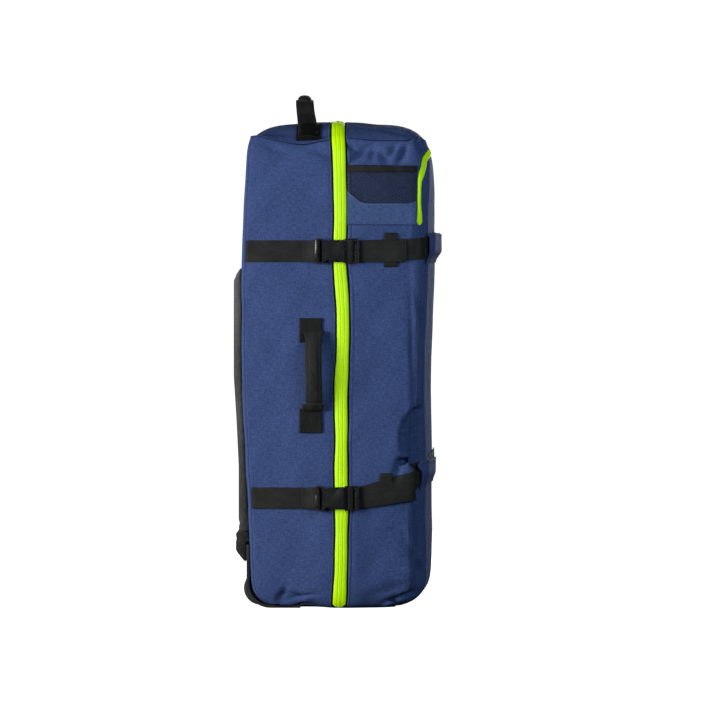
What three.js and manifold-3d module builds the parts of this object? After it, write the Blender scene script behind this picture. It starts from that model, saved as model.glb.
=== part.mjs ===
// A tall soft travel bag that opens like a clamshell along a bright zip and rolls on two wheels.
// Millimetres. +X is the bag's front, -Y its left side, +Z is up. The origin lies on the flat underside.
import * as THREE from "three";
import { mergeVertices } from "three/addons/utils/BufferGeometryUtils.js";
import Module from "manifold-3d";

const wasm = await Module();
wasm.setup();

// Cloth and clearances
const WALL = 2.5;
const GAP = 0.4;

// Body: the walls end at the top edge, and the domed top rises from there
const TOP_EDGE = 868;
const TOP_CROWN = 43;
const TOP_PEAK_X = -10;
const ROOF_POWER = { rear: 2.4, front: 5, across: 2.6 };
const BACK_CORNER = 14;
const FRONT_CORNER = 45;
const SIDE_CROWN = 8;
const BACK_CROWN = 5;
const FRONT_CROWN = 6;
const FRONT_SEAM = 3.2;
const CORE = new THREE.Box3(new THREE.Vector3(-125, -150, 50), new THREE.Vector3(125, 150, 820));

// Level sections of the body: x of the back, of the front and of the zip, and half the width
const SECTIONS = [
  { z: 0, back: -105, front: 92, half: 186, zip: 2 },
  { z: 2, back: -113, front: 100, half: 190, zip: 2 },
  { z: 7, back: -126, front: 118, half: 194.5, zip: 2 },
  { z: 14, back: -141, front: 136, half: 197.5, zip: 2.5 },
  { z: 26, back: -152, front: 150, half: 199.5, zip: 3 },
  { z: 45, back: -159, front: 162, half: 200, zip: 4 },
  { z: 75, back: -161, front: 168, half: 200, zip: 6.5 },
  { z: 117, back: -162, front: 170.5, half: 200, zip: 8 },
  { z: 200, back: -165.5, front: 170.5, half: 200, zip: 7 },
  { z: 300, back: -171, front: 170, half: 200, zip: 6 },
  { z: 420, back: -176.5, front: 167, half: 200, zip: 8 },
  { z: 540, back: -177, front: 172, half: 200, zip: 10 },
  { z: 640, back: -177, front: 177, half: 200, zip: 4 },
  { z: 720, back: -173.5, front: 175, half: 200, zip: 5.5 },
  { z: 790, back: -171, front: 176, half: 199, zip: 4 },
  { z: 835, back: -168, front: 171, half: 196, zip: 3 },
  { z: 855, back: -165, front: 164, half: 192.5, zip: 2.5 },
  { z: 868, back: -161, front: 156, half: 188, zip: 2 },
];

// Dents and folds of the sides: where, which way they run, how long and wide, how far in
const FOLDS = [
  { x: 120, z: 292, tilt: 58, length: 62, width: 18, depth: 8 },
  { x: 108, z: 252, tilt: 80, length: 26, width: 16, depth: 6 },
  { x: 138, z: 165, tilt: 75, length: 75, width: 18, depth: 6 },
  { x: 142, z: 520, tilt: 100, length: 90, width: 13, depth: 5 },
  { x: -98, z: 34, tilt: 8, length: 55, width: 14, depth: 4 },
  { x: 118, z: 30, tilt: 24, length: 60, width: 13, depth: 5 },
  { x: 62, z: 838, tilt: 30, length: 40, width: 13, depth: 4 },
  { x: -20, z: 842, tilt: 150, length: 42, width: 14, depth: 4 },
];

// Main zip: two tapes with the coil between them, and the slot they fill
const ZIP_HALF = 12;
const COIL_HALF = 3.4;
const COIL_TOP = 1.6;

// Front pocket zip: an upturned U over the corner stations and heights of the front panel
const FRONT_ZIP_PATH = [
  { station: 3.29, z: 708 },
  { station: 3.28, z: 750 },
  { station: 3.3, z: 790 },
  { station: 3.38, z: 812 },
  { station: 3.5, z: 829 },
  { station: 3.75, z: 848 },
  { station: 4, z: 854 },
  { station: 4.5, z: 858 },
  { station: 5, z: 859 },
];
const FRONT_ZIP_HALF = 5;
const FRONT_COIL_TOP = 3.4;

// Compression straps, with the slope of the strap and of its tail in front of the buckle
const STRAP_WIDTH = 40;
const STRAP_THICK = 2;
const STRAPS = [
  { name: "upper", z: 661, slope: 0.04, tail: 128, tailSlope: 0, keeperX: 98, sleeveZ: 666, sleeve: 58 },
  { name: "lower", z: 204, slope: 0.285, tail: 146, tailSlope: 0.15, keeperX: 90, sleeveZ: 256, sleeve: 68 },
];
const STRAP_LIFT = 1.6;
const STRAP_TURN = 39;
const BUCKLE_LIFT = 3;
const BUCKLE_THICK = 9.5;

// Side handle and top handle
const SIDE_HANDLE = { x: -49, width: 43, low: 325, high: 537, patch: 45 };
const SIDE_GRIP = { x: -43.5, half: 17, low: 366, high: 513, seat: 6.5, rise: 19.7, thick: 3.3, padding: 3.2 };
const TOP_HANDLE = { x: -57, width: 37, height: 950, grip: 62, patchX: -54, patch: 45 };

// Side pocket
const POCKET = { left: 19, right: 143, bottom: 709.5, band: 806.6, top: 818.6, meshLow: 750, bulge: 10 };

// Back pads
const PAD = { half: 150, low: 146, high: 630, thick: 15 };
const LUMBAR = { low: 86, high: 144, back: -169.5, thick: 23 };

// Rolling base
const BASE = { back: -169, front: -69, high: 117, corner: 44, thick: 5.5, half: 184 };
const WHEEL = { x: -142.5, y: 158, z: 36.5, radius: 32, width: 24, hub: 22 };
const HOUSING = { clear: 4, side: 2.5, wall: 3 };
const AXLE_RADIUS = 4;

// Finishes as seen in the photograph
const BLUE = { color: "#3b4d77", roughness: 0.85, metalness: 0 };
const NEON = { color: "#b8f50d", roughness: 0.6, metalness: 0 };
const BLACK_WEBBING = { color: "#2b2b28", roughness: 0.9, metalness: 0 };
const BLACK_PLASTIC = { color: "#282a28", roughness: 0.4, metalness: 0 };
const GLOSSY_BLACK = { color: "#1d1e1e", roughness: 0.25, metalness: 0 };
const MESH_DARK = { color: "#272f43", roughness: 0.95, metalness: 0 };
const BINDING = { color: "#252526", roughness: 0.9, metalness: 0 };
const PAD_GREY = { color: "#4a4a46", roughness: 0.95, metalness: 0 };
const TYRE = { color: "#1b1b1b", roughness: 0.7, metalness: 0 };
const STEEL = { color: "#9a9a9a", roughness: 0.35, metalness: 1 };

const { degToRad, lerp, smoothstep } = THREE.MathUtils;
const group = new THREE.Group();

function add(name, geometry, finish) {
  const mesh = new THREE.Mesh(geometry, new THREE.MeshStandardMaterial(finish));
  mesh.name = name;
  group.add(mesh);
  return mesh;
}

// Solids for cutting and joining
function solid(geometry) {
  const bare = geometry.clone();
  bare.deleteAttribute("normal");
  bare.deleteAttribute("uv");
  const merged = mergeVertices(bare, 1e-3);
  const mesh = new wasm.Mesh({
    numProp: 3,
    vertProperties: new Float32Array(merged.attributes.position.array),
    triVerts: new Uint32Array(merged.index.array),
  });
  return new wasm.Manifold(mesh);
}

function geometryOf(body) {
  const mesh = body.getMesh();
  const geometry = new THREE.BufferGeometry();
  geometry.setAttribute("position", new THREE.BufferAttribute(mesh.vertProperties, 3));
  geometry.setIndex(new THREE.BufferAttribute(mesh.triVerts, 1));
  return geometry;
}

function box(x0, x1, y0, y1, z0, z1) {
  const geometry = new THREE.BoxGeometry(x1 - x0, y1 - y0, z1 - z0);
  return solid(geometry.translate((x0 + x1) / 2, (y0 + y1) / 2, (z0 + z1) / 2));
}

// A closed slab between two sheets of points over one grid; its faces are turned to point out
function slab(columns, rows, low, high) {
  const across = columns.length;
  const positions = [];
  for (const sheet of [low, high]) {
    for (const v of rows) {
      for (const u of columns) positions.push(...sheet(u, v).toArray());
    }
  }
  const at = (sheet, i, j) => (sheet * rows.length + j) * across + i;
  const faces = [];
  const quad = (a, b, c, d) => faces.push(a, b, c, a, c, d);
  const lastColumn = across - 1;
  const lastRow = rows.length - 1;
  for (let j = 0; j < lastRow; j += 1) {
    for (let i = 0; i < lastColumn; i += 1) {
      quad(at(1, i, j), at(1, i + 1, j), at(1, i + 1, j + 1), at(1, i, j + 1));
      quad(at(0, i, j), at(0, i, j + 1), at(0, i + 1, j + 1), at(0, i + 1, j));
    }
    quad(at(0, 0, j), at(1, 0, j), at(1, 0, j + 1), at(0, 0, j + 1));
    quad(at(0, lastColumn, j), at(0, lastColumn, j + 1), at(1, lastColumn, j + 1), at(1, lastColumn, j));
  }
  for (let i = 0; i < lastColumn; i += 1) {
    quad(at(0, i, 0), at(0, i + 1, 0), at(1, i + 1, 0), at(1, i, 0));
    quad(at(0, i, lastRow), at(1, i, lastRow), at(1, i + 1, lastRow), at(0, i + 1, lastRow));
  }
  if (signedVolume(positions, faces) < 0) faces.reverse();
  const geometry = new THREE.BufferGeometry();
  geometry.setAttribute("position", new THREE.Float32BufferAttribute(positions, 3));
  geometry.setIndex(faces);
  return geometry;
}

function signedVolume(positions, faces) {
  const corner = (k) => new THREE.Vector3().fromArray(positions, faces[k] * 3);
  let sum = 0;
  for (let k = 0; k < faces.length; k += 3) {
    sum += corner(k).dot(corner(k + 1).cross(corner(k + 2))) / 6;
  }
  return sum;
}

// A flat band along a path; its width lies along the axis and its thickness across the path
function ribbon(path, axis, width, thickness) {
  const stops = path.map((_, i) => i);
  const normals = stops.map((i) => {
    const ahead = path[Math.min(i + 1, path.length - 1)];
    const behind = path[Math.max(i - 1, 0)];
    return ahead.clone().sub(behind).cross(axis).normalize();
  });
  const face = (sign) => (i, v) =>
    path[i]
      .clone()
      .addScaledVector(axis, (v * width) / 2)
      .addScaledVector(normals[i], (sign * thickness) / 2);
  return slab(stops, [-1, 1], face(-1), face(1));
}

function steps(from, to, count) {
  return Array.from({ length: count + 1 }, (_, i) => lerp(from, to, i / count));
}

// A row of a table at any height, with smooth curves between the rows given
function sectionAt(z) {
  let i = SECTIONS.findIndex((row) => row.z >= z);
  i = Math.min(Math.max(i, 1), SECTIONS.length - 1);
  const [a, b] = [SECTIONS[i - 1], SECTIONS[i]];
  const before = SECTIONS[Math.max(i - 2, 0)];
  const after = SECTIONS[Math.min(i + 1, SECTIONS.length - 1)];
  const t = (z - a.z) / (b.z - a.z);
  const row = {};
  for (const name of ["back", "front", "half", "zip"]) {
    const slopeA = ((b[name] - before[name]) / (b.z - before.z)) * (b.z - a.z);
    const slopeB = ((after[name] - a[name]) / (after.z - a.z)) * (b.z - a.z);
    const h = t * t * (3 - 2 * t);
    const bend = slopeA * t * (1 - t) * (1 - t) - slopeB * t * t * (1 - t);
    row[name] = a[name] + (b[name] - a[name]) * h + bend;
  }
  return row;
}

// The walls bulge most at half height and lie straight at the top and bottom edges
function bulgeAt(z) {
  return 1 - Math.abs((2 * z) / TOP_EDGE - 1) ** 8;
}

function foldDepth(x, z) {
  let depth = 0;
  for (const fold of FOLDS) {
    const angle = degToRad(fold.tilt);
    const along = ((x - fold.x) * Math.cos(angle) + (z - fold.z) * Math.sin(angle)) / fold.length;
    const across = ((z - fold.z) * Math.cos(angle) - (x - fold.x) * Math.sin(angle)) / fold.width;
    depth += fold.depth * Math.exp(-along * along - across * across);
  }
  return depth;
}

// How much of the width a rounded corner takes away at a distance past its start
function cornerLoss(radius, past) {
  return radius - Math.sqrt(Math.max(radius ** 2 - past ** 2, 0));
}

// Half the body's width at a place seen from the side, round its back and front corners
function halfAt(x, z) {
  const row = sectionAt(z);
  const start = row.back + BACK_CORNER;
  const end = row.front - FRONT_CORNER;
  if (x < start) return row.half - cornerLoss(BACK_CORNER, start - x);
  if (x > end) return row.half - cornerLoss(FRONT_CORNER, x - end);
  const f = (2 * (x - start)) / (end - start) - 1;
  return row.half + SIDE_CROWN * (1 - f * f) * bulgeAt(z);
}

// A point of a level section. Stations along it: 0 middle of the back, 1 to 2 back corner, 2 to 3 side,
// 3 to 4 front corner, 5 middle of the front; side is -1 for the left and 1 for the right
function planPoint(station, z, side) {
  const row = sectionAt(z);
  const bulge = bulgeAt(z);
  const start = row.back + BACK_CORNER;
  const end = row.front - FRONT_CORNER;
  let x = row.back - BACK_CROWN * (1 - station * station) * bulge;
  let y = station * (row.half - BACK_CORNER);
  if (station > 4) {
    const f = 5 - station;
    x = row.front + FRONT_CROWN * (1 - f * f) * bulge;
    y = f * (row.half - FRONT_CORNER);
  } else if (station > 3) {
    x = end + FRONT_CORNER * Math.sin(((station - 3) * Math.PI) / 2);
    y = row.half - FRONT_CORNER + FRONT_CORNER * Math.cos(((station - 3) * Math.PI) / 2);
  } else if (station > 2) {
    x = lerp(start, end, station - 2);
    y = halfAt(x, z);
  } else if (station > 1) {
    x = start - BACK_CORNER * Math.cos(((station - 1) * Math.PI) / 2);
    y = row.half - BACK_CORNER + BACK_CORNER * Math.sin(((station - 1) * Math.PI) / 2);
  }
  return new THREE.Vector3(x, side * y, z);
}

function stationAt(x, z) {
  const row = sectionAt(z);
  const start = row.back + BACK_CORNER;
  return 2 + (x - start) / (row.front - FRONT_CORNER - start);
}

// A point lifted off the wall, square to it
function lifted(station, z, side, lift) {
  const along = planPoint(station + 0.02, z, side).sub(planPoint(station - 0.02, z, side));
  const up = planPoint(station, z + 2, side).sub(planPoint(station, z - 2, side));
  const out = up.cross(along).multiplyScalar(side).normalize();
  return planPoint(station, z, side).addScaledVector(out, lift);
}

function onSide(x, z, side, lift) {
  return new THREE.Vector3(x, side * (halfAt(x, z) + lift), z);
}

// The domed top: u runs across it from -1 on the left edge to 1 on the right edge
function topPoint(x, u, lift = 0) {
  const row = sectionAt(TOP_EDGE);
  const reach = x < TOP_PEAK_X ? TOP_PEAK_X - row.back : row.front - TOP_PEAK_X;
  const power = x < TOP_PEAK_X ? ROOF_POWER.rear : ROOF_POWER.front;
  const roof = 1 - Math.min(Math.abs((x - TOP_PEAK_X) / reach), 1) ** power;
  const dome = TOP_CROWN * roof * (1 - Math.abs(u) ** ROOF_POWER.across);
  return new THREE.Vector3(x, u * halfAt(x, TOP_EDGE), TOP_EDGE + dome + lift);
}

// Cloth walls: the same point moved towards the core of the bag gives the inner face
function towardsCore(point, depth) {
  const core = CORE.clampPoint(point, new THREE.Vector3());
  return point.clone().addScaledVector(core.sub(point).normalize(), depth);
}

function cloth(columns, rows, surface) {
  return slab(columns, rows, (u, v) => towardsCore(surface(u, v), WALL), surface);
}

function dented(point, side, share) {
  point.y -= side * foldDepth(point.x, point.z) * share;
  return point;
}

// Heights at which every wall has a row of points, closer together where the edges round off
const FOOT_ROWS = [0, 6, 16, 32, 60, 117];
const MIDDLE_ROWS = [165, 215, 270, 330, 420, 520, 590, 650, 720];
const HEAD_ROWS = [790, 835, 855, TOP_EDGE - 1];
const WALL_ROWS = [...FOOT_ROWS, ...MIDDLE_ROWS, ...HEAD_ROWS];

// The base plate's outline in the upright plane, moved in from its outer face
function basePath(inset) {
  const radius = BASE.corner - inset;
  const centre = [BASE.back + BASE.corner, BASE.corner];
  const arc = steps(Math.PI, 1.5 * Math.PI, 7);
  const bend = arc.map((a) => [centre[0] + radius * Math.cos(a), centre[1] + radius * Math.sin(a)]);
  return [[BASE.back + inset, BASE.high], ...bend, [BASE.front, inset]];
}

function extrudedAcross(outline, half) {
  const shape = new THREE.Shape(outline.map(([x, z]) => new THREE.Vector2(x, z)));
  const geometry = new THREE.ExtrudeGeometry(shape, { depth: 2 * half, bevelEnabled: false });
  return geometry.rotateX(Math.PI / 2).translate(0, half, 0);
}

// The rear half is cut away where the base plate takes its place
function rearSide(side) {
  const columns = [1, 1.5, 2, 2.25, 2.5, 2.75, 3];
  const whole = cloth(columns, WALL_ROWS, (u, z) => {
    if (u <= 2) return planPoint(u, z, side);
    const zip = stationAt(sectionAt(z).zip - ZIP_HALF - GAP, z);
    return dented(planPoint(2 + (u - 2) * (zip - 2), z, side), side, 1);
  });
  const outline = [...basePath(-20), ...basePath(BASE.thick + GAP).toReversed()];
  const room = solid(extrudedAcross(outline, BASE.half + GAP));
  return geometryOf(solid(whole).subtract(room));
}

function frontSide(side) {
  const columns = [...steps(0, 0.84, 6), 0.92, 1];
  return cloth(columns, WALL_ROWS, (u, z) => {
    const zip = stationAt(sectionAt(z).zip + ZIP_HALF + GAP, z);
    return dented(planPoint(zip + u * (FRONT_SEAM - 0.01 - zip), z, side), side, 1 - u ** 6);
  });
}

for (const [name, side] of [["left", -1], ["right", 1]]) {
  add(`rear_side_${name}`, rearSide(side), BLUE);
  add(`front_side_${name}`, frontSide(side), BLUE);
}

const ACROSS = [-0.99, -0.93, -0.8, -0.6, -0.3, 0, 0.3, 0.6, 0.8, 0.93, 0.99];
const TOP_ROW = sectionAt(TOP_EDGE);
const REAR_TOP_X = [TOP_ROW.back + 4 * GAP, -156, -147, -120, -80, -40, TOP_ROW.zip - ZIP_HALF - GAP];
const FRONT_TOP_X = [TOP_ROW.zip + ZIP_HALF + GAP, 50, 90, 118, 138, 150, TOP_ROW.front - 4 * GAP];
add("rear_top", cloth(ACROSS, REAR_TOP_X, (u, x) => topPoint(x, u)), BLUE);
add("front_top", cloth(ACROSS, FRONT_TOP_X, (u, x) => topPoint(x, u)), BLUE);

// The front panel runs from seam to seam round both front corners
const FRONT_STATIONS = [1.79, 1.5, 1.25, 1, 0.5];
const FRONT_COLUMNS = [...FRONT_STATIONS.map((s) => -s), 0, ...FRONT_STATIONS.toReversed()];
const frontPoint = (u, z) => planPoint(5 - Math.abs(u), z, Math.sign(u));
add("front_panel", cloth(FRONT_COLUMNS, WALL_ROWS, frontPoint), BLUE);

const BACK_COLUMNS = steps(-0.997, 0.997, 8);
const BACK_ROWS = [BASE.high + GAP, ...WALL_ROWS.filter((z) => z > BASE.high + 10)];
const backPoint = (u, z) => planPoint(Math.abs(u), z, Math.sign(u));
add("back_panel", cloth(BACK_COLUMNS, BACK_ROWS, backPoint), BLUE);

// The flat underside, from the base plate to the front panel
const BOTTOM_X = [BASE.front + GAP, -20, 30, 55, 75, SECTIONS[0].front - 8 * GAP];
add("bottom_panel", cloth(ACROSS, BOTTOM_X, (u, x) => new THREE.Vector3(x, u * halfAt(x, 0), 0)), BLUE);

// Main zip: a hoop up the left side, over the top and down the right side
function hoop(turn, dx, lift) {
  if (turn <= 1 || turn >= 2) {
    const z = TOP_EDGE * (turn <= 1 ? turn : 3 - turn);
    const side = turn <= 1 ? -1 : 1;
    return onSide(sectionAt(z).zip + dx, z, side, lift);
  }
  const u = 2 * turn - 3;
  const point = topPoint(TOP_ROW.zip + dx, u, lift * Math.sqrt(1 - u * u));
  point.y += lift * u * Math.abs(u);
  return point;
}

const HOOP_SIDE = WALL_ROWS.map((z) => Math.max(z, 1) / TOP_EDGE);
const HOOP = [...HOOP_SIDE, ...steps(1.03, 1.97, 8), ...HOOP_SIDE.toReversed().map((t) => 3 - t)];

function zipStrip(from, to, low, high) {
  return slab([from, to], HOOP, (dx, t) => hoop(t, dx, low), (dx, t) => hoop(t, dx, high));
}

add("main_zip_tape_rear", zipStrip(-ZIP_HALF, -COIL_HALF - GAP, -1.5, 0.3), NEON);
add("main_zip_tape_front", zipStrip(COIL_HALF + GAP, ZIP_HALF, -1.5, 0.3), NEON);
add("main_zip_coil", zipStrip(-COIL_HALF, COIL_HALF, -1.2, COIL_TOP), NEON);

const SLIDER = { z: 110, width: 11, thick: 4, length: 20 };
const slider = new THREE.BoxGeometry(SLIDER.width, SLIDER.thick, SLIDER.length);
const sliderSeat = onSide(sectionAt(SLIDER.z).zip, SLIDER.z, 1, COIL_TOP + GAP + SLIDER.thick / 2);
add("main_zip_slider", slider, BLACK_PLASTIC).position.copy(sliderSeat);

// Front pocket zip, laid on the front panel
const frontZipStops = [
  ...FRONT_ZIP_PATH.map((p) => ({ ...p, side: -1 })),
  ...FRONT_ZIP_PATH.slice(0, -1).toReversed().map((p) => ({ ...p, side: 1 })),
];

function frontZipStrip(half, low, high) {
  const middle = frontZipStops.map((p) => planPoint(p.station, p.z, p.side));
  const outward = frontZipStops.map((p, i) => lifted(p.station, p.z, p.side, 1).sub(middle[i]));
  const place = (lift) => (v, i) => {
    const ahead = middle[Math.min(i + 1, middle.length - 1)];
    const along = ahead.clone().sub(middle[Math.max(i - 1, 0)]);
    const sideways = along.cross(outward[i]).normalize();
    return middle[i].clone().addScaledVector(sideways, v * half).addScaledVector(outward[i], lift);
  };
  return slab([-1, 1], frontZipStops.map((_, i) => i), place(low), place(high));
}

add("front_zip_tape", frontZipStrip(FRONT_ZIP_HALF, 1, 2), NEON);
add("front_zip_coil", frontZipStrip(FRONT_ZIP_HALF / 2, 2.4, FRONT_COIL_TOP), NEON);
const FRONT_SLIDER = { station: 3.28, z: 740, width: 9, thick: 3.6, length: 16, turn: -0.44 };
const frontSliderBlock = new THREE.BoxGeometry(FRONT_SLIDER.width, FRONT_SLIDER.thick, FRONT_SLIDER.length);
const frontSlider = add("front_zip_slider", frontSliderBlock, BLACK_PLASTIC);
const frontSliderLift = FRONT_COIL_TOP + GAP + FRONT_SLIDER.thick / 2;
frontSlider.position.copy(lifted(FRONT_SLIDER.station, FRONT_SLIDER.z, 1, frontSliderLift));
frontSlider.rotation.z = FRONT_SLIDER.turn;

// Compression straps
const UP = new THREE.Vector3(0, 0, 1);

// A half turn of webbing round a bar: places along the strap and their lift off the bag
function barTurn(x, lift, radius, from) {
  return steps(from, from + Math.PI, 4).map((angle) => ({
    x: x + radius * Math.cos(angle),
    lift: lift + radius * Math.sin(angle),
  }));
}

function rearStrap(strap) {
  const seam = [1.05, 1.5, 2].map((s) => lifted(s, strap.z, -1, STRAP_LIFT + 1));
  const flat = [-140, -100, -70, -38].map((x) => ({ x, lift: STRAP_LIFT }));
  const turn = barTurn(-34.5, 5.1, 3.5, -Math.PI / 2);
  const back = [
    { x: -43.5, lift: 8.6 },
    { x: -52, lift: 5.6 },
    { x: -58, lift: 4.2 },
    { x: -66, lift: 4.2 },
  ];
  const side = [...flat, ...turn, ...back].map((p) => onSide(p.x, strap.z, -1, p.lift));
  return ribbon([...seam, ...side], UP, STRAP_WIDTH, STRAP_THICK);
}

function frontStrap(strap) {
  const rise = (x, slope) => strap.z + slope * Math.max(x - STRAP_TURN, 0);
  const tail = [
    { x: strap.tail, lift: 4.2 },
    { x: strap.keeperX + 20, lift: 5.4 },
    { x: strap.keeperX + 13, lift: 6.1 },
    { x: strap.keeperX - 14, lift: 6.1 },
    { x: 48, lift: 8.4 },
    { x: 41, lift: 9.8 },
    { x: 24, lift: 9.8 },
  ].map((p) => onSide(p.x, rise(p.x, strap.tailSlope), -1, p.lift));
  const turn = barTurn(21.6, 5.7, 4.1, Math.PI / 2);
  const loop = turn.map((p) => onSide(p.x, strap.z, -1, p.lift));
  const near = [44, 70, 95, 120].map((x) => onSide(x, rise(x, strap.slope), -1, STRAP_LIFT));
  const front = [3.1, ...FRONT_STATIONS.map((s) => 5 - s)];
  const corner = rise(130, strap.slope);
  const level = (s) => corner + (strap.sleeveZ - corner) * Math.min((s - 3) / 0.8, 1);
  const leftFront = front.map((s) => lifted(s, level(s), -1, STRAP_LIFT));
  const rightFront = [5, ...front.toReversed()].map((s) => lifted(s, level(s), 1, STRAP_LIFT));
  const overZip = (x) => STRAP_LIFT + 1.8 * Math.exp(-(((x - 6) / 30) ** 2));
  const farX = [120, 80, 45, 20, -8, -33, -90, -140];
  const far = farX.map((x) => onSide(x, rise(x, strap.slope), 1, overZip(x)));
  const seam = [2, 1.5, 1.05].map((s) => lifted(s, strap.z, 1, STRAP_LIFT + 1));
  const path = [...tail, ...loop, ...near, ...leftFront, ...rightFront, ...far, ...seam];
  return ribbon(path, UP, STRAP_WIDTH, STRAP_THICK);
}

// A buckle lies in its own plane: x along the strap, y up, z away from the bag
function plate(outline, thickness) {
  const shape = new THREE.Shape(outline.map(([x, y]) => new THREE.Vector2(x, y)));
  return solid(new THREE.ExtrudeGeometry(shape, { depth: thickness, bevelEnabled: false }));
}

function webbingSlot(x0, x1) {
  const reach = STRAP_WIDTH / 2 + 0.6;
  return box(x0, x1, -reach, reach, -1, 20);
}

function mirroredOutline(upper) {
  const lower = upper.toReversed().map(([x, y]) => [x, -y]);
  return [...lower, ...upper];
}

const PRONG = { low: 2.8, high: 6.7 };

function femaleBuckle() {
  const mouth = [[11.5, 19.3], [3, 19.3], [0, 16.9], [-20, 16.9]];
  const tailEnd = [[-25, 20.5], [-29, 23], [-40, 23], [-42, 21]];
  const whole = plate(mirroredOutline([...mouth, ...tailEnd]), BUCKLE_THICK);
  const overBar = webbingSlot(-50, -28.6).translate(0, 0, 5.2);
  const body = whole.subtract(webbingSlot(-36, -28.6)).subtract(overBar);
  const cavity = box(-21, 20, -16.6, 16.6, PRONG.low - GAP, PRONG.high + GAP);
  const windows = box(-19, 0, -30, 30, PRONG.low - GAP, PRONG.high + GAP);
  return geometryOf(body.subtract(cavity).subtract(windows));
}

function maleBuckle() {
  const upper = [[39, 20], [38, 23], [14, 23], [12, 20]];
  const bars = plate(mirroredOutline(upper), 3.9).translate(0, 0, 0.6);
  const frame = bars.subtract(webbingSlot(16, 20.6)).subtract(webbingSlot(26.8, 32.4));
  const guide = box(-15, 13, -3, 3, PRONG.low, PRONG.high);
  const shank = [[-18.5, 12.2], [13, 12.2], [13, 16.2], [-3, 16.2]];
  const catchEnd = [[-3.5, 20.6], [-14, 20.6], [-18.5, 16]];
  const arms = [-1, 1].map((sign) => {
    const outline = [...shank, ...catchEnd].map(([x, y]) => [x, sign * y]);
    return plate(outline, PRONG.high - PRONG.low).translate(0, 0, PRONG.low);
  });
  const whole = arms.reduce((sum, arm) => sum.add(arm), frame.add(guide));
  return geometryOf(whole);
}

function keeper(strap) {
  const columns = [strap.keeperX - 12, strap.keeperX + 12];
  const middle = strap.z + strap.slope * Math.max(strap.keeperX - STRAP_TURN, 0);
  const rows = [-32, -28, -25, 25, 28, 32];
  const lift = (v) => (Math.abs(v) < 26 ? 3 : 0.6);
  const place = (extra) => (x, v) => onSide(x, middle + v, -1, lift(v) + extra);
  return slab(columns, rows, place(0), place(1.3));
}

function sleeve(strap) {
  const half = [1.38, 1.15, 0.95, 0.5];
  const columns = [...half.map((s) => -s), 0, ...half.toReversed()];
  const rows = [-1, -0.8, 0, 0.8, 1];
  const rise = (v) => 0.9 + 9.2 * (1 - Math.abs(v) ** 3);
  const place = (extra) => (u, v) => {
    const z = strap.sleeveZ + (v * strap.sleeve) / 2;
    return lifted(5 - Math.abs(u), z, u < 0 ? -1 : 1, rise(v) + extra);
  };
  return slab(columns, rows, place(0), place(1.8));
}

for (const strap of STRAPS) {
  add(`strap_${strap.name}_rear`, rearStrap(strap), BLACK_WEBBING);
  add(`strap_${strap.name}_front`, frontStrap(strap), BLACK_WEBBING);
  add(`keeper_${strap.name}`, keeper(strap), BLACK_WEBBING);
  add(`sleeve_${strap.name}`, sleeve(strap), BLUE);
  const seat = onSide(0, strap.z, -1, BUCKLE_LIFT);
  for (const [half, make] of [["female", femaleBuckle], ["male", maleBuckle]]) {
    const buckle = add(`buckle_${strap.name}_${half}`, make(), BLACK_PLASTIC);
    buckle.rotation.x = Math.PI / 2;
    buckle.position.set(0, seat.y, strap.z);
  }
}

// Side handle: two sewn patches and a padded grip between them
function sidePatch(low) {
  const x0 = SIDE_HANDLE.x - SIDE_HANDLE.width / 2;
  const columns = [x0, x0 + SIDE_HANDLE.width];
  const rows = steps(low, low + SIDE_HANDLE.patch, 2);
  const place = (lift) => (x, z) => onSide(x, z, -1, lift);
  return slab(columns, rows, place(GAP), place(3.2));
}

function sideGrip() {
  const columns = [-1, -0.8, -0.4, 0.4, 0.8, 1];
  const rows = [0, 0.05, 0.12, 0.22, 0.36, 0.5, 0.64, 0.78, 0.88, 0.95, 1];
  const place = (sign) => (u, f) => {
    const z = lerp(SIDE_GRIP.low, SIDE_GRIP.high, f);
    const arch = Math.sin(Math.PI * f) ** 0.75;
    const middle = SIDE_GRIP.seat + SIDE_GRIP.rise * arch;
    const thick = SIDE_GRIP.thick + SIDE_GRIP.padding * arch;
    const x = SIDE_GRIP.x + u * (SIDE_GRIP.half - 1.8 * arch);
    return onSide(x, z, -1, middle + sign * thick * Math.sqrt(1 - 0.75 * u * u));
  };
  return slab(columns, rows, place(-1), place(1));
}

add("side_handle_anchor_top", sidePatch(SIDE_HANDLE.high - SIDE_HANDLE.patch), BLACK_WEBBING);
add("side_handle_anchor_bottom", sidePatch(SIDE_HANDLE.low), BLACK_WEBBING);
add("side_handle_grip", sideGrip(), BLACK_WEBBING);

// Top handle: a strap that arches from edge to edge, with a padded grip wrapped round its middle
const acrossTop = (y, lift) => {
  const half = halfAt(TOP_HANDLE.x, TOP_EDGE);
  return new THREE.Vector3(TOP_HANDLE.x, y, topPoint(TOP_HANDLE.x, y / half).z + lift);
};
const handleLeft = [
  acrossTop(-176, 6.4),
  acrossTop(-150, 6),
  acrossTop(-128, 7.6),
  new THREE.Vector3(TOP_HANDLE.x, -104, TOP_HANDLE.height - 30),
  new THREE.Vector3(TOP_HANDLE.x, -74, TOP_HANDLE.height - 7),
  new THREE.Vector3(TOP_HANDLE.x, -36, TOP_HANDLE.height - 1),
];
const mirrorPoint = (p) => new THREE.Vector3(p.x, -p.y, p.z);
const handleCurve = new THREE.CatmullRomCurve3([
  ...handleLeft,
  new THREE.Vector3(TOP_HANDLE.x, 0, TOP_HANDLE.height),
  ...handleLeft.toReversed().map(mirrorPoint),
]);
const handlePath = handleCurve.getPoints(24);
const ALONG_X = new THREE.Vector3(1, 0, 0);
add("top_handle_strap", ribbon(handlePath, ALONG_X, TOP_HANDLE.width, 2.4), BLACK_WEBBING);

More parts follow.
